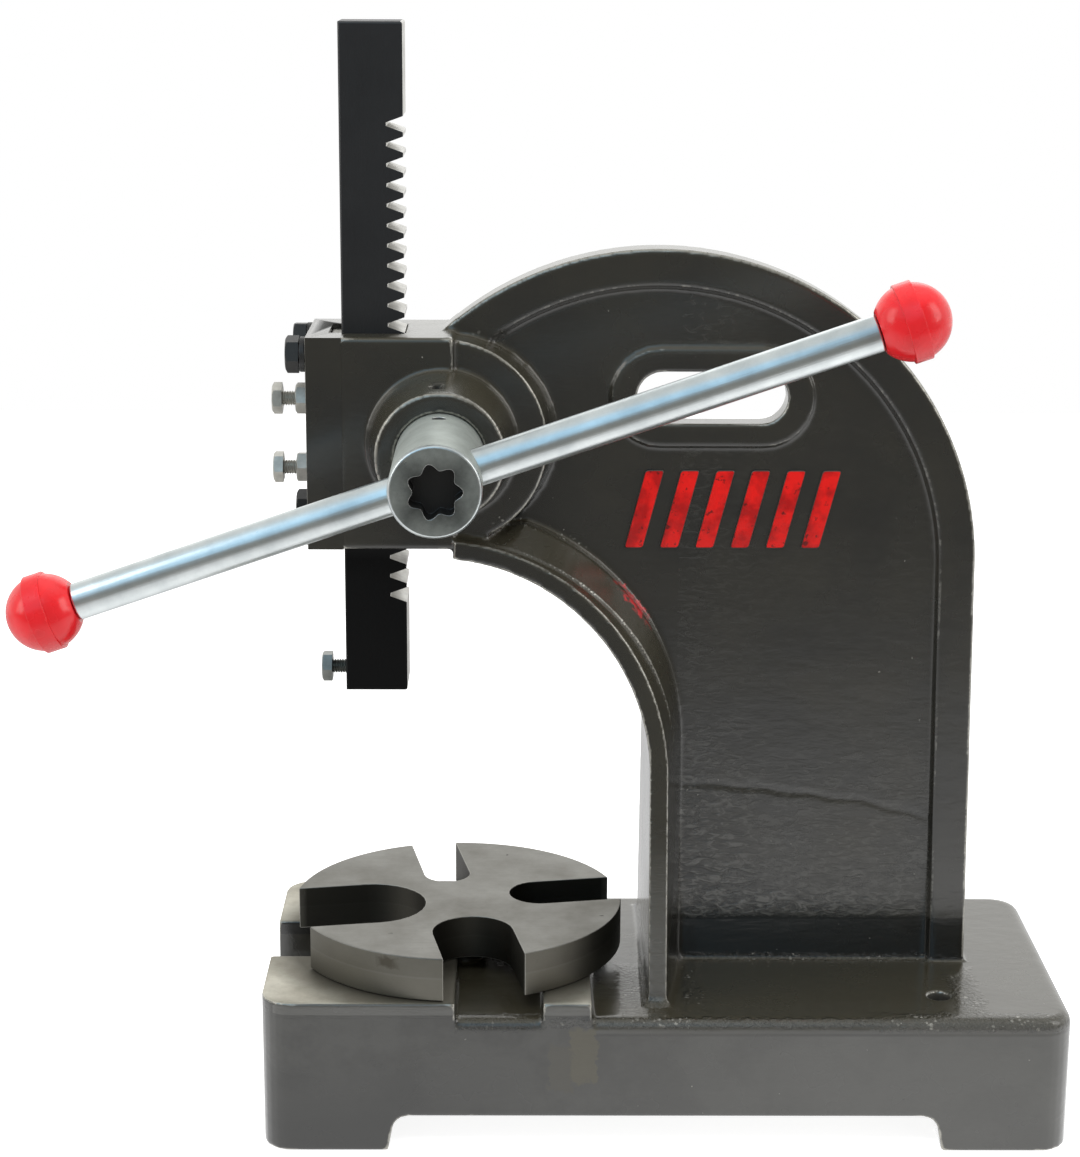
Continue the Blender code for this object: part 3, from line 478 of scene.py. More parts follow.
def enamelMaterial():
    material, shader = newMaterial("painted_enamel")
    look = enamelLook
    vector = objectVector()
    places = split(vector)
    x, z = places[0], places[2]
    skin = useGroup(castSkin, Vector=vector, Lump=look["lump"], Peel=look["peel"])
    waves, low = webWaves(vector)
    rough = largest(*[patchOver(vector, item, Soft=0.5) for item in swarmSet.values()])
    rings = largest(*[ringOver(vector, item) for item in ringSet.values()])
    uneven = ramp(noise(vector, 110.0, 3.0, 0.6), 0.48, 0.6)
    crowd = product(specksOver(vector, *speckSet["crowded"]), uneven, largest(rough, rings))
    dots = largest(specksOver(vector, *speckSet["scattered"]), crowd)
    worn = wearMask(vector, wearScale["casting"])
    pad = product(calc("COMPARE", z, padZ, padSet["band"]), under(x, padSet["end"]))
    paint = enamelPaint(vector, skin, waves, low)
    for item in smearSet.values():
        paint = blend(product(patchOver(vector, item, Fray=0.002), 0.8), paint, item["colour"])
    streak = useGroup(arcBand, Vector=vector, Centre=throatCentre, Radius=streakSet["radius"],
                      Half=streakSet["width"], Fray=0.001)["Mask"]
    streak = product(streak, patchOver(vector, streakSet, Soft=0.5),
                     ramp(noise(vector, 260.0, 3.0), 0.42, 0.56))
    paint = blend(streak, paint, streakSet["colour"])
    # worn edges, and bright dots that are partly chips and partly painted glints
    paint = blend(largest(worn, dots), paint, look["worn"])
    # dark matte spot at the oil hole: painted shade of the hole
    oilHoleShade = product(patchOver(vector, oilHoleShadeSet, Fray=0.0012, Soft=0.7), oilHoleShadeSet["share"])
    paint = blend(oilHoleShade, paint, look["darkTone"])
    gloss = ramp(skin["Tone"], *look["glossTone"], *look["gloss"])
    height = enamelHeight(vector, skin, dots, waves, low, rough)
    height = product(height, calc("SUBTRACT", 1.0, product(pad, 0.8)))
    fill(shader, {
        "Base Color": blend(pad, paint, padSteel(vector)),
        "Metallic": largest(product(pad, padSet["metal"]), product(worn, 0.7)),
        "Roughness": largest(gloss, product(pad, padSet["rough"]), oilHoleShade),
        "Normal": bump(height, look["bump"]),
        "Coat Weight": calc("SUBTRACT", look["coat"], largest(product(pad, look["coat"]), oilHoleShade)),
        "Coat Roughness": ramp(z, *look["coatHigh"], *look["coatRough"])})
    return material


def coverEnamelMaterial():
    # the same paint on flatter, filled faces: less lump, finer peel
    material, shader = newMaterial("cover_enamel")
    look = enamelLook
    vector = objectVector()
    skin = useGroup(castSkin, Vector=vector, Lump=coverLook["lump"], Peel=coverLook["peel"])
    worn = wearMask(vector, wearScale["cover"])
    paint = blend(ramp(skin["Tone"], *look["tone"]), look["dark"], look["warm"])
    fill(shader, {
        "Base Color": blend(product(worn, coverLook["wornShare"]), paint, look["worn"]),
        "Metallic": product(worn, coverLook["wornMetal"]),
        "Roughness": ramp(skin["Tone"], *look["glossTone"], *coverLook["gloss"]),
        "Normal": bump(skin["Height"], coverLook["bump"]),
        "Coat Weight": coverLook["coat"], "Coat Roughness": coverLook["coatRough"]})
    return material


redLook = {"full": rgb(0.86, 0.009, 0.006), "shade": rgb(0.5, 0.004, 0.004),
           "thin": rgb(0.045, 0.008, 0.007), "rough": 0.36, "shine": 0.3, "bump": 0.0003}


def redPaintMaterial():
    # brushed on by hand over the raised bars, thin enough at the rims for the dark paint to show
    material, shader = newMaterial("red_paint")
    look = redLook
    vector = objectVector()
    thin = ramp(noise(vector, 300.0, 3.0, 0.65), 0.6, 0.68)
    colour = blend(ramp(noise(vector, 120.0, 3.0), 0.42, 0.6), look["full"], look["shade"])
    colour = blend(product(largest(thin, wearMask(vector, wearScale["casting"])), 0.8), colour, look["thin"])
    fill(shader, {"Base Color": colour, "Roughness": look["rough"], "Specular IOR Level": look["shine"],
                  "Normal": bump(noise(vector, 380.0, 3.0), look["bump"])})
    return material


# Bare and plated metal

alongX, alongY, alongZ = (40.0, 1700.0, 1700.0), (1700.0, 40.0, 1700.0), (1700.0, 1700.0, 40.0)
metalDefaults = {"marks": alongX, "turn": 0.0, "stain": 30.0, "pits": 0.03, "pitScale": 150.0,
                 "pitSize": 0.13, "darkTone": rgb(0.05, 0.045, 0.04), "metal": 1.0, "wearShare": 1.0,
                 "tone": (0.35, 0.7), "line": (0.58, 0.75), "lined": 0.35, "bump": 0.00006}
metalLooks = {
    "ground": {"light": rgb(0.42, 0.41, 0.385), "shade": rgb(0.28, 0.27, 0.24), "rough": 0.4,
               "worn": rgb(0.62, 0.6, 0.56), "wearShare": 0.6},
    "plate": {"light": rgb(0.335, 0.328, 0.304), "shade": rgb(0.215, 0.206, 0.182), "rough": 0.46,
              "stain": 26.0, "worn": rgb(0.5, 0.49, 0.45), "wearShare": 0.5, "pits": 0.06},
    "oxide": {"light": rgb(0.0135, 0.0135, 0.0135), "shade": rgb(0.02, 0.0195, 0.018), "rough": 0.36,
              "worn": rgb(0.26, 0.26, 0.26), "metal": 0.0, "wearShare": 0.35, "pits": 0.0, "marks": alongZ},
    "ram": {"light": rgb(0.0125, 0.013, 0.0142), "shade": rgb(0.017, 0.0175, 0.0185), "rough": 0.38,
            "worn": rgb(0.26, 0.26, 0.26), "metal": 0.0, "wearShare": 0.35, "pits": 0.0, "marks": alongZ},
    "rack": {"light": rgb(0.7, 0.69, 0.66), "shade": rgb(0.46, 0.45, 0.42), "rough": 0.36, "stain": 120.0,
             "worn": rgb(0.75, 0.74, 0.72), "pits": 0.1, "pitScale": 400.0, "marks": alongY},
    "zinc": {"light": rgb(0.56, 0.595, 0.57), "shade": rgb(0.33, 0.355, 0.34), "rough": 0.34, "stain": 90.0,
             "worn": rgb(0.82, 0.84, 0.82), "pits": 0.07, "pitScale": 260.0, "marks": alongY},
    # a lighter copy of the zinc for the hub's side: painted light
    "side": {"light": rgb(0.5, 0.54, 0.505), "shade": rgb(0.37, 0.4, 0.37), "rough": 0.46, "stain": 70.0,
             "worn": rgb(0.82, 0.84, 0.82), "pits": 0.05, "pitScale": 260.0, "metal": 0.55},
    "nut": {"light": rgb(0.62, 0.605, 0.555), "shade": rgb(0.38, 0.375, 0.34), "rough": 0.36,
            "stain": 120.0, "worn": rgb(0.82, 0.83, 0.81), "pits": 0.05, "pitScale": 260.0, "metal": 0.75},
    "bright": {"light": rgb(0.84, 0.89, 0.89), "shade": rgb(0.64, 0.69, 0.7), "rough": 0.25, "stain": 60.0,
               "worn": rgb(0.85, 0.86, 0.86), "bump": 0.00005, "turn": leverTilt},
    "screw": {"light": rgb(0.34, 0.35, 0.335), "shade": rgb(0.22, 0.225, 0.21), "rough": 0.34,
              "stain": 120.0, "worn": rgb(0.62, 0.63, 0.6)},
}
rimLook = {"level": -0.0085, "upper": rgb(0.15, 0.142, 0.118), "lower": rgb(0.205, 0.195, 0.165),
           "slotWall": rgb(0.03, 0.028, 0.023), "slotReach": (0.0655, 0.0675),
           "stain": rgb(0.075, 0.066, 0.05), "centre": (-0.0268, -0.0632, -0.0035),
           "half": (0.005, 0.006, 0.003)}
recessRingLook = {"centre": (pinionAxis.x - 0.0005, hubLow.y, pinionAxis.z - 0.0005),
              "half": (0.015, 0.004, 0.015), "share": 0.95, "colour": rgb(0.012, 0.011, 0.01)}
lowEndLook = {"below": 0.15, "soft": 0.02, "share": 0.85, "colour": rgb(0.002, 0.002, 0.002),
             "shine": (0.5, 0.12)}


def plateRim(vector, colour, look):
    # the plate's rim: turned in two cuts, the upper one duller, with a stain; its sides darkened, partly
    # painted shade, and its slot walls dark, painted shade
    side = under(absolute(surfaceNormal()[2]), 0.5)
    level = calc("SUBTRACT", split(vector)[2], rimLook["level"])
    # sides darkened: partly their turned finish, partly painted shade
    colour = blend(product(side, 0.85), colour, rimLook["upper"])
    colour = blend(product(side, ramp(level, -0.0003, 0.0003, 0.45, 0.0)), colour, rimLook["lower"])
    line = product(side, ramp(absolute(level), 0.0002, 0.0006, 0.5, 0.0))
    colour = blend(line, colour, look["shade"])
    reach = lengthOf(vectorCalc("MULTIPLY", vector, (1.0, 1.0, 0.0)))
    # slot walls darkened: painted shade in the slots
    slotWall = product(side, ramp(reach, *rimLook["slotReach"], 0.75, 0.0))
    colour = blend(slotWall, colour, rimLook["slotWall"])
    return blend(product(patchOver(vector, rimLook, Fray=0.0012, Soft=0.6), 0.7), colour, rimLook["stain"])


def steelMaterial(name, kind):
    # tool marks, stains, dark pits, and worn edges where the mesh says so
    material, shader = newMaterial(name)
    look = {**metalDefaults, **metalLooks[kind]}
    vector = objectVector()
    if look["turn"]:
        turned = addNode("ShaderNodeMapping")
        turned.inputs["Rotation"].default_value = (0, look["turn"], 0)
        vector = wired(turned, (vector,))
    marks = useGroup(machining, Vector=vector, Stretch=look["marks"], Stain=look["stain"])
    colour = blend(ramp(marks["Tone"], *look["tone"]), look["light"], look["shade"])
    colour = blend(ramp(marks["Height"], *look["line"], 0.0, look["lined"]), colour, look["shade"])
    pits = specksOver(vector, look["pitScale"], look["pits"], look["pitSize"])
    colour = blend(product(pits, 0.8), colour, look["darkTone"])
    if kind == "plate":
        colour = plateRim(vector, colour, look)
    edge = wearMask(vector, wearScale["metal"])
    colour = blend(product(edge, look["wearShare"]), colour, look["worn"])
    if kind == "zinc":  # darker round the recess
        recessRing = product(patchOver(vector, recessRingLook, Fray=0.0014, Soft=0.8), recessRingLook["share"])
        colour = blend(recessRing, colour, recessRingLook["colour"])
    if kind == "ram":  # its lower end is darker and less shiny
        lowEnd = fade(split(vector)[2], lowEndLook["below"], lowEndLook["below"] + lowEndLook["soft"])
        colour = blend(product(lowEnd, lowEndLook["share"]), colour, lowEndLook["colour"])
        feed(blendValue(lowEnd, *lowEndLook["shine"]), shader.inputs["Specular IOR Level"])
    shine = scaledSum(marks["Height"], 0.1, look["rough"] - 0.05)
    fill(shader, {
        "Base Color": colour, "Metallic": largest(product(edge, 0.9), look["metal"]),
        "Roughness": scaledSum(marks["Tone"], 0.12, shine),
        "Normal": bump(scaledSum(pits, -1.5, marks["Height"]), look["bump"])})
    return material


plasticLook = {"full": rgb(0.92, 0.014, 0.022), "shade": rgb(0.78, 0.009, 0.015), "inside": 0.12,
               "insideReach": (0.004, 0.0012, 0.0008), "coat": 0.25, "coatRough": 0.12, "bump": 0.00025}


def plasticMaterial():
    material, shader = newMaterial("red_ball_plastic")
    look = plasticLook
    vector = objectVector()
    tone = noise(vector, 60.0, 3.0, 0.6)
    fill(shader, {
        "Base Color": blend(ramp(tone, 0.4, 0.65), look["full"], look["shade"]),
        "Roughness": ramp(tone, 0.35, 0.7, 0.22, 0.34),
        "Normal": bump(noise(vector, 180.0, 2.0), look["bump"]),
        "Subsurface Weight": look["inside"], "Subsurface Radius": look["insideReach"],
        "Coat Weight": look["coat"], "Coat Roughness": look["coatRough"]})
    return material


enamel = enamelMaterial()
coverEnamel = coverEnamelMaterial()
redPaint = redPaintMaterial()
groundSteel = steelMaterial("ground_steel", "ground")
plateSteel = steelMaterial("plate_steel", "plate")
blackOxide = steelMaterial("black_oxide", "oxide")
rackSteel = steelMaterial("rack_steel", "rack")
ramOxide = steelMaterial("ram_oxide", "ram")
zincPlate = steelMaterial("zinc_plate", "zinc")
zincSideLit = steelMaterial("zinc_side_lit", "side")
zincNut = steelMaterial("zinc_nut", "nut")
brightPlate = steelMaterial("bright_plate", "bright")
screwSteel = steelMaterial("screw_steel", "screw")
redPlastic = plasticMaterial()
print("materials made")

# Mesh helpers


meshSet = {"merge": 0.000002, "flat": 0.6}


def linkObject(name, data):
    thing = bpy.data.objects.new(name, data)
    bpy.context.scene.collection.objects.link(thing)
    return thing


def finished(name, bm, materials, body, stands, sharp=50.0, place=None):
    # turns a bmesh into a piece: placed in its mesh, shaded and ridden
    if place:
        bm.transform(place)
    bmesh.ops.recalc_face_normals(bm, faces=bm.faces)
    mesh = bpy.data.meshes.new(name)
    bm.to_mesh(mesh)
    bm.free()
    for material in materials:
        mesh.materials.append(material)
    mesh.shade_smooth()
    mesh.set_sharp_from_angle(angle=math.radians(sharp))
    thing = linkObject(name, mesh)
    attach(thing, body)
    if stands:
        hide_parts(*stands)
    return thing


def mergedCopy(node):
    bm = bmesh.new()
    bm.from_mesh(nodes[node].data)
    bmesh.ops.remove_doubles(bm, verts=bm.verts, dist=meshSet["merge"])
    bmesh.ops.dissolve_limit(bm, angle_limit=math.radians(meshSet["flat"]), verts=bm.verts, edges=bm.edges)
    return bm


def sharpEdges(bm, angle):
    limit = math.radians(angle)
    return [edge for edge in bm.edges if len(edge.link_faces) == 2 and edge.calc_face_angle(0) > limit]


def easeEdges(bm, edges, width, segments=2):
    # bevels edges and marks the new faces as worn
    wear = bm.faces.layers.float.get("wear") or bm.faces.layers.float.new("wear")
    made = bmesh.ops.bevel(bm, geom=edges, offset=width, segments=segments, profile=0.5, affect="EDGES",
                           material=-1, clamp_overlap=True)
    for face in made["faces"]:
        face[wear] = 1.0


def flatten(thing):
    # keeps flat faces flat between their eased edges
    weighted = thing.modifiers.new("flatFaces", "WEIGHTED_NORMAL")
    weighted.keep_sharp = True


def machinedCopy(name, node, material, body, width, angle=35.0):
    # a rigid node with the same shape, its sharp edges eased as a machinist or a tumbler leaves them
    bm = mergedCopy(node)
    easeEdges(bm, sharpEdges(bm, angle), width)
    flatten(finished(name, bm, [material], body, [node]))


def softened(points, radius, steps=3):
    # a turned profile whose inner corners are rounded by short curves
    soft = [points[0]]
    for before, corner, after in zip(points, points[1:], points[2:]):
        before, corner, after = Vector(before), Vector(corner), Vector(after)
        reach = min(radius, (before - corner).length * 0.45, (after - corner).length * 0.45)
        start = corner + (before - corner).normalized() * reach
        end = corner + (after - corner).normalized() * reach
        for step in range(steps + 1):
            share = step / steps
            soft.append(tuple(start.lerp(corner, share).lerp(corner.lerp(end, share), share)))
    soft.append(points[-1])
    return soft


def turnedForm(profile, sides, closed=False):
    # points of (radius, height) spun about Z
    bm = bmesh.new()
    verts = [bm.verts.new((radius, 0, height)) for radius, height in profile]
    loop = verts + verts[:1] if closed else verts
    edges = [bm.edges.new(pair) for pair in zip(loop, loop[1:])]
    bmesh.ops.spin(bm, geom=verts + edges, cent=(0, 0, 0), axis=(0, 0, 1), angle=fullTurn, steps=sides,
                   use_merge=True)
    bmesh.ops.remove_doubles(bm, verts=bm.verts, dist=0.000005)
    return bm


def standing(place, way, turn=0.0):
    # a matrix that takes local Z to a direction, at a place
    aim = Vector(way).to_track_quat("Z", "Y").to_matrix().to_4x4()
    return Matrix.Translation(place) @ aim @ Matrix.Rotation(turn, 4, "Z")


# Camera, lamps, floor and backdrop

cameraSet = {
    "place": (0.0267, -1.0432, 0.3971), "pitch": 0.2426, "yaw": -0.0071, "roll": -0.0043,
    "focalPixels": 2621.13, "imageHeight": 1157, "sensor": 36.0, "near": 0.05, "far": 20,
}


def makeCamera():
    look = cameraSet
    pitch, yaw, roll = look["pitch"], look["yaw"], look["roll"]
    forward = Vector((-math.sin(yaw) * math.cos(pitch), math.cos(yaw) * math.cos(pitch), -math.sin(pitch)))
    right = Vector((math.cos(yaw), math.sin(yaw), 0))
    down = forward.cross(right)
    across = math.cos(roll) * right + math.sin(roll) * down
    upward = math.sin(roll) * right - math.cos(roll) * down
    data = bpy.data.cameras.new("camera")
    data.sensor_width = look["sensor"]
    data.lens = look["focalPixels"] / look["imageHeight"] * look["sensor"]
    data.clip_start, data.clip_end = look["near"], look["far"]
    camera = linkObject("camera", data)
    turn = Matrix((across, upward, -forward)).transposed().to_4x4()
    camera.matrix_world = Matrix.Translation(look["place"]) @ turn
    bpy.context.scene.camera = camera


lampSet = {
    "overheadLamp": {"place": (0.1, 0.25, 1.15), "size": (1.2, 0.8), "power": 6.0,
                     "colour": (1.0, 0.99, 0.97), "mirrored": False},
    "frontLamp": {"place": (-0.1, -0.95, 1.15), "size": (0.9, 0.28), "power": 5.0,
                  "colour": (0.9, 0.95, 1.0), "mirrored": False},
    "leftLamp": {"place": (-1.1, -0.45, 0.65), "size": (0.5, 0.9), "power": 3.5,
                 "colour": (1.0, 0.99, 0.97), "mirrored": True},
    "rightLamp": {"place": (1.15, -0.4, 0.75), "size": (0.5, 0.9), "power": 3.5,
                  "colour": (1.0, 0.99, 0.97), "mirrored": True},
    "rearLamp": {"place": (0.15, 1.1, 0.95), "size": (1.0, 0.7), "power": 1.5,
                 "colour": (1.0, 1.0, 1.0), "mirrored": True},
}
lampAim = Vector((0.08, 0.0, 0.11))


def makeLamps():
    for name, look in lampSet.items():
        data = bpy.data.lights.new(name, "AREA")
        data.shape = "RECTANGLE"
        data.size, data.size_y = look["size"]
        data.energy = look["power"]
        data.color = look["colour"]
        lamp = linkObject(name, data)
        lamp.visible_glossy = look["mirrored"]
        place = Vector(look["place"])
        lamp.matrix_world = standing(place, place - lampAim)


worldSet = {"ambient": 0.5, "room": rgb(0.215, 0.21, 0.195), "window": rgb(0.54, 0.84, 1.08),
            "ceiling": rgb(0.7, 0.71, 0.7), "backdrop": rgb(1.05, 1.05, 1.03), "windowLow": 0.22,
            "windowHigh": 0.76, "windowLeft": -0.62, "windowRight": 0.02, "backdropTop": 0.42,
            "soft": 0.16, "turn": 0.25}


def makeWorld():
    # white to the camera; in reflections a white backdrop behind, and in front a dim room with a window
    look = worldSet
    world = bpy.data.worlds.new("studio")
    bpy.context.scene.world = world
    world.use_nodes = True
    opened["tree"] = world.node_tree
    background = world.node_tree.nodes["Background"]
    path = addNode("ShaderNodeLightPath").outputs
    x, y, z = split(addNode("ShaderNodeTexCoord").outputs["Generated"])
    low, high, soft = look["windowLow"], look["windowHigh"], look["soft"]
    side = product(ramp(x, look["windowLeft"] - soft, look["windowLeft"]),
                   fade(x, look["windowRight"], look["windowRight"] + soft))
    front = blend(product(ramp(z, low, low + soft), side), look["room"], look["window"])
    front = blend(ramp(z, high, high + soft), front, look["ceiling"])
    behind = blend(ramp(z, look["backdropTop"], look["backdropTop"] + soft), look["backdrop"],
                   look["ceiling"])
    mirrored = blend(ramp(y, -look["turn"], look["turn"]), front, behind)
    glossy = largest(path["Is Glossy Ray"], path["Is Transmission Ray"])
    plain = rgb(look["ambient"], look["ambient"], look["ambient"])
    light = blend(glossy, plain, mirrored)
    feed(blend(path["Is Camera Ray"], light, rgb(1, 1, 1)), background.inputs["Color"])
    background.inputs["Strength"].default_value = 1.0


floorSet = {"front": -0.62, "back": 1.6, "side": 1.6, "drop": 0.0002, "colour": rgb(0.8, 0.8, 0.79),
            "rough": 0.75, "shine": 0.2, "shown": 0.86, "near": 1.28, "far": 0.78, "farToNear": (-0.5, -0.1),
            "left": 0.82, "leftReach": (-0.25, 0.3), "behind": 0.74, "behindReach": (-0.04, 0.08)}


def makeFloor():
    look = floorSet
    bm = bmesh.new()
    bmesh.ops.create_grid(bm, x_segments=2, y_segments=2, size=1.0)
    bmesh.ops.scale(bm, vec=(look["side"], (look["back"] - look["front"]) / 2, 1), verts=bm.verts)
    shift = (castLow.x + 0.15, (look["back"] + look["front"]) / 2, floorZ - look["drop"])
    bmesh.ops.translate(bm, vec=shift, verts=bm.verts)
    mesh = bpy.data.meshes.new("floor")
    bm.to_mesh(mesh)
    bm.free()
    material, shader = newMaterial("pale_floor")
    path = addNode("ShaderNodeLightPath").outputs
    shown = largest(path["Is Camera Ray"], path["Is Transmission Ray"])
    fill(shader, {"Base Color": look["colour"], "Roughness": look["rough"],
                  "Specular IOR Level": look["shine"], "Emission Color": rgb(1, 1, 1),
                  "Emission Strength": product(shown, look["shown"])})
    x, y = split(objectVector())[:2]
    level = ramp(y, *look["farToNear"], look["far"], look["near"])
    level = product(level, ramp(x, *look["leftReach"], look["left"], 1.0))
    level = blendValue(ramp(y, *look["behindReach"]), level, look["behind"])
    reflected = addNode("ShaderNodeEmission")
    feed(level, reflected.inputs["Strength"])
    both = addNode("ShaderNodeMixShader")
    feed(path["Is Glossy Ray"], both.inputs[0])
    feed(shader.outputs[0], both.inputs[1])
    feed(reflected.outputs[0], both.inputs[2])
    feed(both.outputs[0], material.node_tree.nodes["Material Output"].inputs["Surface"])
    mesh.materials.append(material)
    linkObject("floor", mesh)


makeCamera()
makeLamps()
makeWorld()
makeFloor()
bpy.context.scene.view_settings.view_transform = "Standard"
print("studio made")

# The casting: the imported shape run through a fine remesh, so every root and edge gets its cast radius

castSet = {"voxel": 0.0009, "smooth": 2, "faces": 190000, "wearGain": 5.5, "webFront": -0.005}
footHole = {"across": (0, 1), "reach": (0.0, 0.0055), "turn": (0, 360), "steps": 20, "along": (-0.1, -0.02)}
roundSet = [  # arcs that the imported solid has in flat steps
    {"across": (0, 2), "centre": (ramX + 0.1136, 0.1449), "reach": (0.1105, 0.132), "turn": (0, 134.76),
     "steps": 30, "along": (-0.02, 0.02)},
    {"across": (0, 2), "centre": (ramX + 0.02365, 0.0665), "reach": (0.086, 0.1035), "turn": (0, 84.83),
     "steps": 30, "along": (-0.06, 0.06)},
    {"across": (0, 2), "centre": (pinionAxis.x, pinionAxis.z), "reach": (0.016, 0.031), "turn": (0, 360),
     "steps": 48, "along": (-0.054, -0.0258)},
    {"across": (0, 2), "centre": (pinionAxis.x, pinionAxis.z), "reach": (0.0395, 0.048), "turn": (-90, 90),
     "steps": 15, "along": (-0.024, 0.024)},
    {**footHole, "centre": (ramX + 0.2302, -0.044)},
    {**footHole, "centre": (ramX + 0.2302, 0.044)},
]
flangeSet = {"reach": (0.0948, 0.101, 0.128), "turn": (2.0, 32.0, 50.0), "out": 0.0036, "cheek": 0.044,
             "cheekSoft": 0.006, "halfWidth": 0.026, "shares": (0.0, 0.85, 1.0)}
ridgeSet = {"x": (0.093, 0.1156, 0.1361, 0.1554, 0.1717, 0.1848, 0.198),
            "z": (0.0528, 0.0514, 0.0492, 0.0466, 0.0445, 0.0406, 0.0372), "depth": 0.00036, "half": 0.0015,
            "wavy": ((0.0004, 310, 0), (0.00012, 1300, 1)), "deep": 0.0005, "start": 0.02,
            "shares": (0.5, 1.0, 0.45)}


def remeshed(node, voxel):
    bm = bmesh.new()
    bm.from_mesh(nodes[node].data)
    bmesh.ops.remove_doubles(bm, verts=bm.verts, dist=meshSet["merge"])
    mesh = bpy.data.meshes.new("skinSource")
    bm.to_mesh(mesh)
    bm.free()
    source = linkObject("skinSource", mesh)
    step = source.modifiers.new("skin", "REMESH")
    step.mode = "VOXEL"
    step.voxel_size = voxel
    skin = bpy.data.meshes.new_from_object(source.evaluated_get(bpy.context.evaluated_depsgraph_get()))
    bpy.data.objects.remove(source)
    return skin


def roundOut(places, look):
    # pushes what lies between two steps of an arc out by the sagitta, which makes the arc round
    first, second = look["across"]
    offset = places[:, [first, second]] - np.array(look["centre"])
    reach = np.hypot(offset[:, 0], offset[:, 1])
    low, high = (math.radians(value) for value in look["turn"])
    turn = np.arctan2(offset[:, 1], offset[:, 0])
    turn = np.where(turn < low, turn + fullTurn, turn)
    rest = places[:, 3 - first - second]
    inside = (reach > look["reach"][0]) & (reach < look["reach"][1]) & (turn <= high)
    inside &= (rest > look["along"][0]) & (rest < look["along"][1])
    step = (high - low) / look["steps"]
    local = (turn - low) % step - step / 2
    factor = np.where(inside, np.cos(local) / math.cos(step / 2), 1.0)
    places[:, [first, second]] += offset * (factor - 1.0)[:, None]


def widenFlange(places):
    # the flange's slope runs out further over the web towards the head, as the photograph shows
    look = flangeSet
    centre = (throatCentre[0], throatCentre[2])
    offset = places[:, [0, 2]] - np.array(centre)
    reach = np.hypot(offset[:, 0], offset[:, 1])
    turn = np.degrees(np.arctan2(offset[:, 1], offset[:, 0]))
    pinion = np.hypot(places[:, 0] - pinionAxis.x, places[:, 2] - pinionAxis.z)
    share = np.interp(reach, look["reach"], (0.0, 1.0, 0.0))
    share *= np.interp(turn, look["turn"], look["shares"])
    share *= np.clip((pinion - look["cheek"]) / look["cheekSoft"], 0, 1)
    share *= np.abs(places[:, 1]) < look["halfWidth"]
    share[turn > 90] = 0.0
    places[:, [0, 2]] += offset * (share * look["out"] / np.maximum(reach, 1e-6))[:, None]


def cutRidge(places):
    # the wavy line across the web where the mould's sand gave way
    look = ridgeSet
    centre = np.interp(places[:, 0], look["x"], look["z"])
    for rise, rate, shift in look["wavy"]:
        centre += rise * np.sin(places[:, 0] * rate + shift)
    left, right = look["x"][0], look["x"][-1]
    near = np.abs(places[:, 1] - castSet["webFront"]) < look["deep"]
    near &= (places[:, 0] > left) & (places[:, 0] < right)
    share = np.exp(-((places[:, 2] - centre) / look["half"]) ** 2)
    fading = np.interp(places[:, 0], (left, left + look["start"], right), look["shares"])
    places[:, 1] += np.where(near, share * fading * look["depth"], 0.0)


def smoothedSkin(mesh):
    bm = bmesh.new()
    bm.from_mesh(mesh)
    for turn in range(castSet["smooth"]):
        bmesh.ops.smooth_vert(bm, verts=bm.verts, factor=0.5, use_axis_x=True, use_axis_y=True,
                              use_axis_z=True)
    bm.to_mesh(mesh)
    bm.free()
    places = np.empty(len(mesh.vertices) * 3)
    mesh.vertices.foreach_get("co", places)
    places = places.reshape(-1, 3)
    for look in roundSet:
        roundOut(places, look)
    widenFlange(places)
    cutRidge(places)
    mesh.vertices.foreach_set("co", places.ravel())
    mesh.update()


def makeCasting():
    look = castSet
    mesh = remeshed("frame_casting", look["voxel"])
    print("remeshed:", len(mesh.vertices), "vertices")
    smoothedSkin(mesh)
    thing = linkObject("cast_body", mesh)
    thin = thing.modifiers.new("thin", "DECIMATE")
    thin.ratio = min(1.0, look["faces"] / (2 * len(mesh.polygons)))
    smaller = bpy.data.meshes.new_from_object(thing.evaluated_get(bpy.context.evaluated_depsgraph_get()))
    thing.modifiers.clear()
    thing.data = smaller
    bpy.data.meshes.remove(mesh)
    smaller.name = "cast_body"
    smaller.materials.clear()
    smaller.materials.append(enamel)
    smaller.shade_smooth()
    addWear(smaller, look["wearGain"])
    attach(thing, "frame")
    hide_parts("frame_casting")
    print("casting:", len(smaller.polygons), "faces")


def addWear(mesh, gain):
    # stores how far each vertex stands out of its neighbours, which is where paint wears through
    count = len(mesh.vertices)
    places = np.empty(count * 3)
    normals = np.empty(count * 3)
    mesh.vertices.foreach_get("co", places)
    mesh.vertices.foreach_get("normal", normals)
    places, normals = places.reshape(-1, 3), normals.reshape(-1, 3)
    ends = np.empty(len(mesh.edges) * 2, dtype=np.int32)
    mesh.edges.foreach_get("vertices", ends)
    first, second = ends.reshape(-1, 2).T
    way = places[second] - places[first]
    way /= np.linalg.norm(way, axis=1)[:, None] + 1e-9
    total, number = np.zeros(count), np.zeros(count)
    np.add.at(total, first, -(way * normals[first]).sum(1))
    np.add.at(total, second, (way * normals[second]).sum(1))
    np.add.at(number, first, 1)
    np.add.at(number, second, 1)
    wear = np.clip(total / np.maximum(number, 1) * gain, 0, 1)
    layer = mesh.attributes.new("wear", "FLOAT", "POINT")
    layer.data.foreach_set("value", wear.astype(np.float32))


makeCasting()

# Raised bars on the web, painted by hand

barSet = {"count": 6, "left": 0.068, "right": 0.156, "low": 0.1528, "high": 0.186, "width": 0.0078,
          "lean": 0.0085, "rise": 0.0011, "draft": 0.0006, "corner": 0.0012, "edge": 0.0003}


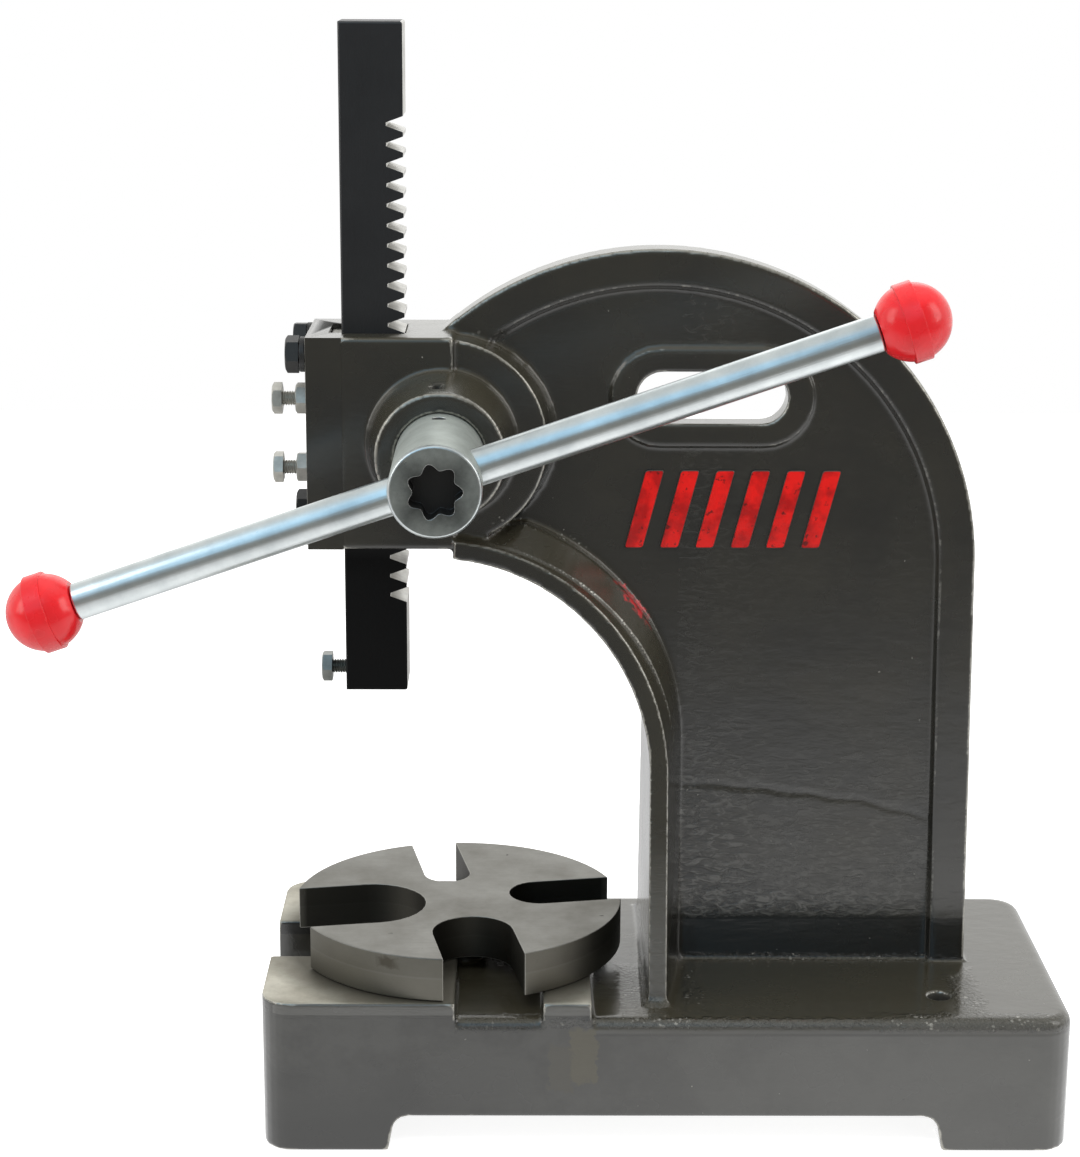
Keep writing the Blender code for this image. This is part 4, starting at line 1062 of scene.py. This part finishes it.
def makeBars():
    look = barSet
    web = castSet["webFront"]
    pitch = (look["right"] - look["left"] - look["width"] - look["lean"]) / (look["count"] - 1)
    for number in range(look["count"]):
        left = look["left"] + number * pitch
        bm = bmesh.new()
        corners = ((left, look["low"]), (left + look["width"], look["low"]),
                   (left + look["width"] + look["lean"], look["high"]), (left + look["lean"], look["high"]))
        bm.faces.new([bm.verts.new((x, web + look["draft"], z)) for x, z in corners])
        bmesh.ops.bevel(bm, geom=bm.verts[:], offset=look["corner"], segments=4, profile=0.5,
                        affect="VERTICES", material=-1)
        rim = bmesh.ops.extrude_face_region(bm, geom=bm.faces[:])
        raised = [item for item in rim["geom"] if isinstance(item, bmesh.types.BMVert)]
        bmesh.ops.translate(bm, vec=(0, -look["rise"] - look["draft"], 0), verts=raised)
        centre = sum((vert.co for vert in raised), Vector()) / len(raised)
        for vert in raised:
            way = (vert.co - centre).normalized()
            vert.co -= way * look["draft"]
        easeEdges(bm, sharpEdges(bm, 50.0), look["edge"])
        bmesh.ops.recalc_face_normals(bm, faces=bm.faces)
        for side in bm.faces:
            if side.normal.y > -0.9:
                side.material_index = 1
        finished(f"raised_bar_{number + 1}", bm, [redPaint, coverEnamel], "frame", [])


makeBars()
print("bars made")

# Cover, gib strip and rear bearing

coverSet = {"edge": 0.0011, "overlap": 0.0018}


def makeCover():
    # the cover's far face runs a little into the casting's rounded corner, as filler under paint does
    bm = mergedCopy("ram_cover")
    inner = coverHigh.x - 0.0001
    outer = [edge for edge in sharpEdges(bm, 35.0) if max(vert.co.x for vert in edge.verts) < inner]
    easeEdges(bm, outer, coverSet["edge"], 3)
    seated = [vert for vert in bm.verts if vert.co.x > inner]
    bmesh.ops.translate(bm, vec=(coverSet["overlap"], 0, 0), verts=seated)
    flatten(finished("cover_block", bm, [coverEnamel], "frame", ["ram_cover"]))


makeCover()
machinedCopy("gib_bar", "gib_strip", groundSteel, "frame", 0.0003)
machinedCopy("bearing_flange", "rear_bearing", coverEnamel, "frame", 0.0006)
print("cover and bearing made")

# Arbor plate and its pivot

machinedCopy("slotted_plate", "arbor_plate", plateSteel, "plate", 0.00035, angle=60.0)
machinedCopy("pivot_pin", "plate_pivot", groundSteel, "frame", 0.0005)
print("plate made")

# Ram: black oxide all round, bright where the teeth were cut

ramSet = {"edge": 0.0004, "toothReach": 0.0072}


def makeRam():
    bm = mergedCopy("ram_rack")
    easeEdges(bm, sharpEdges(bm, 25.0), ramSet["edge"])
    bmesh.ops.recalc_face_normals(bm, faces=bm.faces)
    cut = ramHigh.x - ramSet["toothReach"]
    for face in bm.faces:
        if abs(face.normal.y) < 0.3 and face.calc_center_median().x > cut and face.normal.x > -0.2:
            face.material_index = 1
    flatten(finished("rack_ram", bm, [ramOxide, rackSteel], "ram", ["ram_rack"]))


makeRam()
print("ram made")

# Pinion shaft, hub, hub pin

hubSet = {"edge": 0.00045, "recess": 0.0115, "recessDeep": (0.0006, 0.02), "rim": 0.015, "rimDeep": 0.003}


def makeHub():
    # dull zinc with a bright chamfer round its end, a lighter copy of the zinc on its side as painted light,
    # and a black star recess as painted shade
    look = hubSet
    bm = mergedCopy("lever_hub")
    easeEdges(bm, sharpEdges(bm, 50.0), look["edge"])
    bmesh.ops.recalc_face_normals(bm, faces=bm.faces)
    for face in bm.faces:
        centre = face.calc_center_median()
        reach = math.hypot(centre.x - pinionAxis.x, centre.z - pinionAxis.z)
        deep = centre.y - hubLow.y
        # the star recess in black: painted shade inside it
        if reach < look["recess"] and look["recessDeep"][0] < deep < look["recessDeep"][1]:
            face.material_index = 1
        elif reach > look["rim"] and -0.95 < face.normal.y < -0.3 and deep < look["rimDeep"]:
            face.material_index = 2
        # the side gets the lighter copy of the zinc: painted light
        elif reach > look["rim"] and abs(face.normal.y) < 0.3:
            face.material_index = 3
    metals = [zincPlate, blackOxide, brightPlate, zincSideLit]
    flatten(finished("turned_hub", bm, metals, "pinion", ["lever_hub"]))


makeHub()
machinedCopy("toothed_shaft", "pinion_shaft", groundSteel, "pinion", 0.0003, angle=40.0)
machinedCopy("cross_pin", "hub_pin", blackOxide, "pinion", 0.0003)
print("hub made")

# Lever: drawn bar and two balls

leverSet = {"radius": 0.007, "spigot": 0.004, "spigotLength": 0.014, "sides": 96, "edge": 0.0008}
ballSet = {"radius": 0.0145, "flat": 0.008, "bandHalf": 0.0034, "bandRise": 0.0005, "bore": 0.0043,
           "sides": 96, "steps": 24, "boreDepth": 0.0155, "lip": 0.00015}


def ballProfile():
    # from the bore's lip, round the ball with its square band, to the far pole and back down the bore
    look = ballSet
    start = math.asin(look["flat"] / look["radius"])
    band = math.asin(look["bandHalf"] / look["radius"])
    lip = look["radius"] * math.cos(start)
    outer = look["radius"] + look["bandRise"]
    points = [(look["bore"], lip)]
    for step in range(look["steps"] + 1):
        turn = start + (math.pi / 2 - band - start) * step / look["steps"]
        points.append((look["radius"] * math.sin(turn), look["radius"] * math.cos(turn)))
    half, edge = look["bandHalf"], look["lip"]
    points += [(outer - edge, half), (outer, half - edge), (outer, edge - half), (outer - edge, -half)]
    for step in range(look["steps"] + 1):
        turn = math.pi / 2 + band + (math.pi / 2 - band) * step / look["steps"]
        points.append((max(0, look["radius"] * math.sin(turn)), look["radius"] * math.cos(turn)))
    points[-1] = (0, -look["radius"])
    depth = lip - look["boreDepth"]
    return points + [(0, depth), (look["bore"], depth)]


def makeLever():
    leftBall, rightBall = middle("left_knob"), middle("right_knob")
    look = leverSet
    reach = math.sqrt(ballSet["radius"] ** 2 - ballSet["flat"] ** 2) + seatGap
    centre = middle("lever_rod")
    left = (leftBall - centre).dot(leverWay) + reach
    right = (rightBall - centre).dot(leverWay) - reach
    radius, spigot, tip = look["radius"], look["spigot"], look["spigotLength"]
    profile = softened([
        (0, left - tip), (spigot, left - tip), (spigot, left), (radius, left), (radius, right),
        (spigot, right), (spigot, right + tip), (0, right + tip)], look["edge"])
    bm = turnedForm(profile, look["sides"])
    finished("lever_bar", bm, [brightPlate], "lever", ["lever_rod"], sharp=35.0,
             place=standing(centre, leverWay))
    for name, ball, node, way in (("ball_left", leftBall, "left_knob", leverWay),
                                  ("ball_right", rightBall, "right_knob", -leverWay)):
        bm = turnedForm(ballProfile(), ballSet["sides"], closed=True)
        finished(name, bm, [redPlastic], "lever", [node], sharp=30.0,
                 place=standing(ball, way))


makeLever()
print("lever made")

# Hexagon screws, nuts and spring washers

screwSet = {
    "cover_bolt": {"flats": 0.013, "head": 0.0053, "shank": 0.004, "pitch": 0.00125, "way": (-1, 0, 0),
                   "material": blackOxide, "slot": "black_oxide", "body": "frame"},
    "bearing_screw": {"flats": 0.008, "head": 0.0035, "shank": 0.0025, "pitch": 0.0008, "way": (0, 1, 0),
                      "material": blackOxide, "slot": "black_oxide", "body": "frame"},
    "gib_screw": {"flats": 0.0111, "head": 0.004, "shank": 0.003, "pitch": 0.001, "way": (-1, 0, 0),
                  "material": zincNut, "slot": "zinc_plate", "body": "frame"},
    "nose_screw": {"flats": 0.0111, "head": 0.0042, "shank": 0.003, "pitch": 0.001, "way": (-1, 0, 0),
                   "material": screwSteel, "slot": "black_oxide", "body": "ram"},
}
hexSet = {"sides": 72, "roundShare": 0.95, "rings": 5, "coneSlope": math.tan(math.radians(30))}
nutSet = {"flats": 0.0111, "bore": 0.0033}


def hexForm(flats, height, bore=0.0):
    # a hexagon along local Z whose end corners are turned off by a cone, a scallop on each flat
    look = hexSet
    half = flats / 2
    bm = bmesh.new()
    bmesh.ops.create_cone(bm, cap_ends=not bore, segments=look["sides"], radius1=half, radius2=half,
                          depth=height)
    bmesh.ops.translate(bm, vec=(0, 0, height / 2), verts=bm.verts)
    depth = half * (2 / math.sqrt(3) - look["roundShare"]) * look["coneSlope"]
    for step in range(1, look["rings"] + 1):
        bmesh.ops.bisect_plane(bm, geom=bm.verts[:] + bm.edges[:] + bm.faces[:], dist=1e-7,
                               plane_co=(0, 0, height - depth * step / look["rings"]), plane_no=(0, 0, 1))
    sixth = fullTurn / 6
    for vert in bm.verts:
        turn = math.atan2(vert.co.y, vert.co.x)
        local = (turn + sixth / 2) % sixth - sixth / 2
        cone = half * look["roundShare"] + (height - vert.co.z) / look["coneSlope"]
        reach = min(half / math.cos(local), cone)
        vert.co.x, vert.co.y = reach * math.cos(turn), reach * math.sin(turn)
    if bore:
        rims = [edge for edge in bm.edges if edge.is_boundary]
        made = bmesh.ops.extrude_edge_only(bm, edges=rims)
        for vert in (item for item in made["geom"] if isinstance(item, bmesh.types.BMVert)):
            inward = bore / math.hypot(vert.co.x, vert.co.y)
            vert.co.x, vert.co.y = vert.co.x * inward, vert.co.y * inward
        bmesh.ops.bridge_loops(bm, edges=[edge for edge in bm.edges if edge.is_boundary])
    return bm


def threadedForm(radius, length, pitch):
    # a bar along local Z with a real helical thread, its far end plain
    perTurn = 6
    count = max(2, int(length / pitch * perTurn))
    profile = [(0, 0)] + [(radius, length * step / count) for step in range(count + 1)] + [(0, length)]
    bm = turnedForm(profile, 24)
    for vert in bm.verts:
        around = math.hypot(vert.co.x, vert.co.y)
        if around > radius / 2 and 0 < vert.co.z < length - pitch / 2:
            phase = (vert.co.z / pitch - math.atan2(vert.co.y, vert.co.x) / fullTurn) % 1
            inward = (radius - 0.6 * pitch * abs(2 * phase - 1)) / around
            vert.co.x, vert.co.y = vert.co.x * inward, vert.co.y * inward
    return bm


def makeScrew(node, kind, turn):
    look = screwSet[kind]
    way = Vector(look["way"])
    low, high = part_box(node)
    centre = (low + high) / 2
    length = abs((high - low).dot(way)) - look["head"]
    seat = centre + way * (abs((high - low).dot(way)) / 2 - look["head"])
    bm = hexForm(look["flats"], look["head"])
    mesh = bpy.data.meshes.new("shank")
    thread = threadedForm(look["shank"], length + look["head"] / 2, look["pitch"])
    thread.transform(Matrix.Translation((0, 0, -length)))
    thread.to_mesh(mesh)
    thread.free()
    bm.from_mesh(mesh)
    bpy.data.meshes.remove(mesh)
    finished(node + "_dressed", bm, [look["material"]], look["body"], [node], sharp=28.0,
             place=standing(seat, way, math.radians(turn)))


def makeFasteners():
    for number in range(1, 5):
        makeScrew(f"cover_bolt_{number}", "cover_bolt", 17 * number)
        washer = f"spring_washer_{number}"
        machinedCopy(washer + "_dressed", washer, blackOxide, "frame", 0.0002, angle=40.0)
    for number in range(1, 4):
        makeScrew(f"bearing_screw_{number}", "bearing_screw", 23 * number)
    makeScrew("nose_screw", "nose_screw", 30)
    for place, turn in (("upper", 8), ("lower", 22)):
        makeScrew(f"gib_screw_{place}", "gib_screw", turn)
        node = f"lock_nut_{place}"
        low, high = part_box(node)
        centre = middle(node)
        bm = hexForm(nutSet["flats"], high.x - low.x, nutSet["bore"])
        finished(node + "_dressed", bm, [zincNut], "frame", [node], sharp=28.0,
                 place=standing((high.x, centre.y, centre.z), (-1, 0, 0), math.radians(turn + 14)))


makeFasteners()
print("fasteners made")
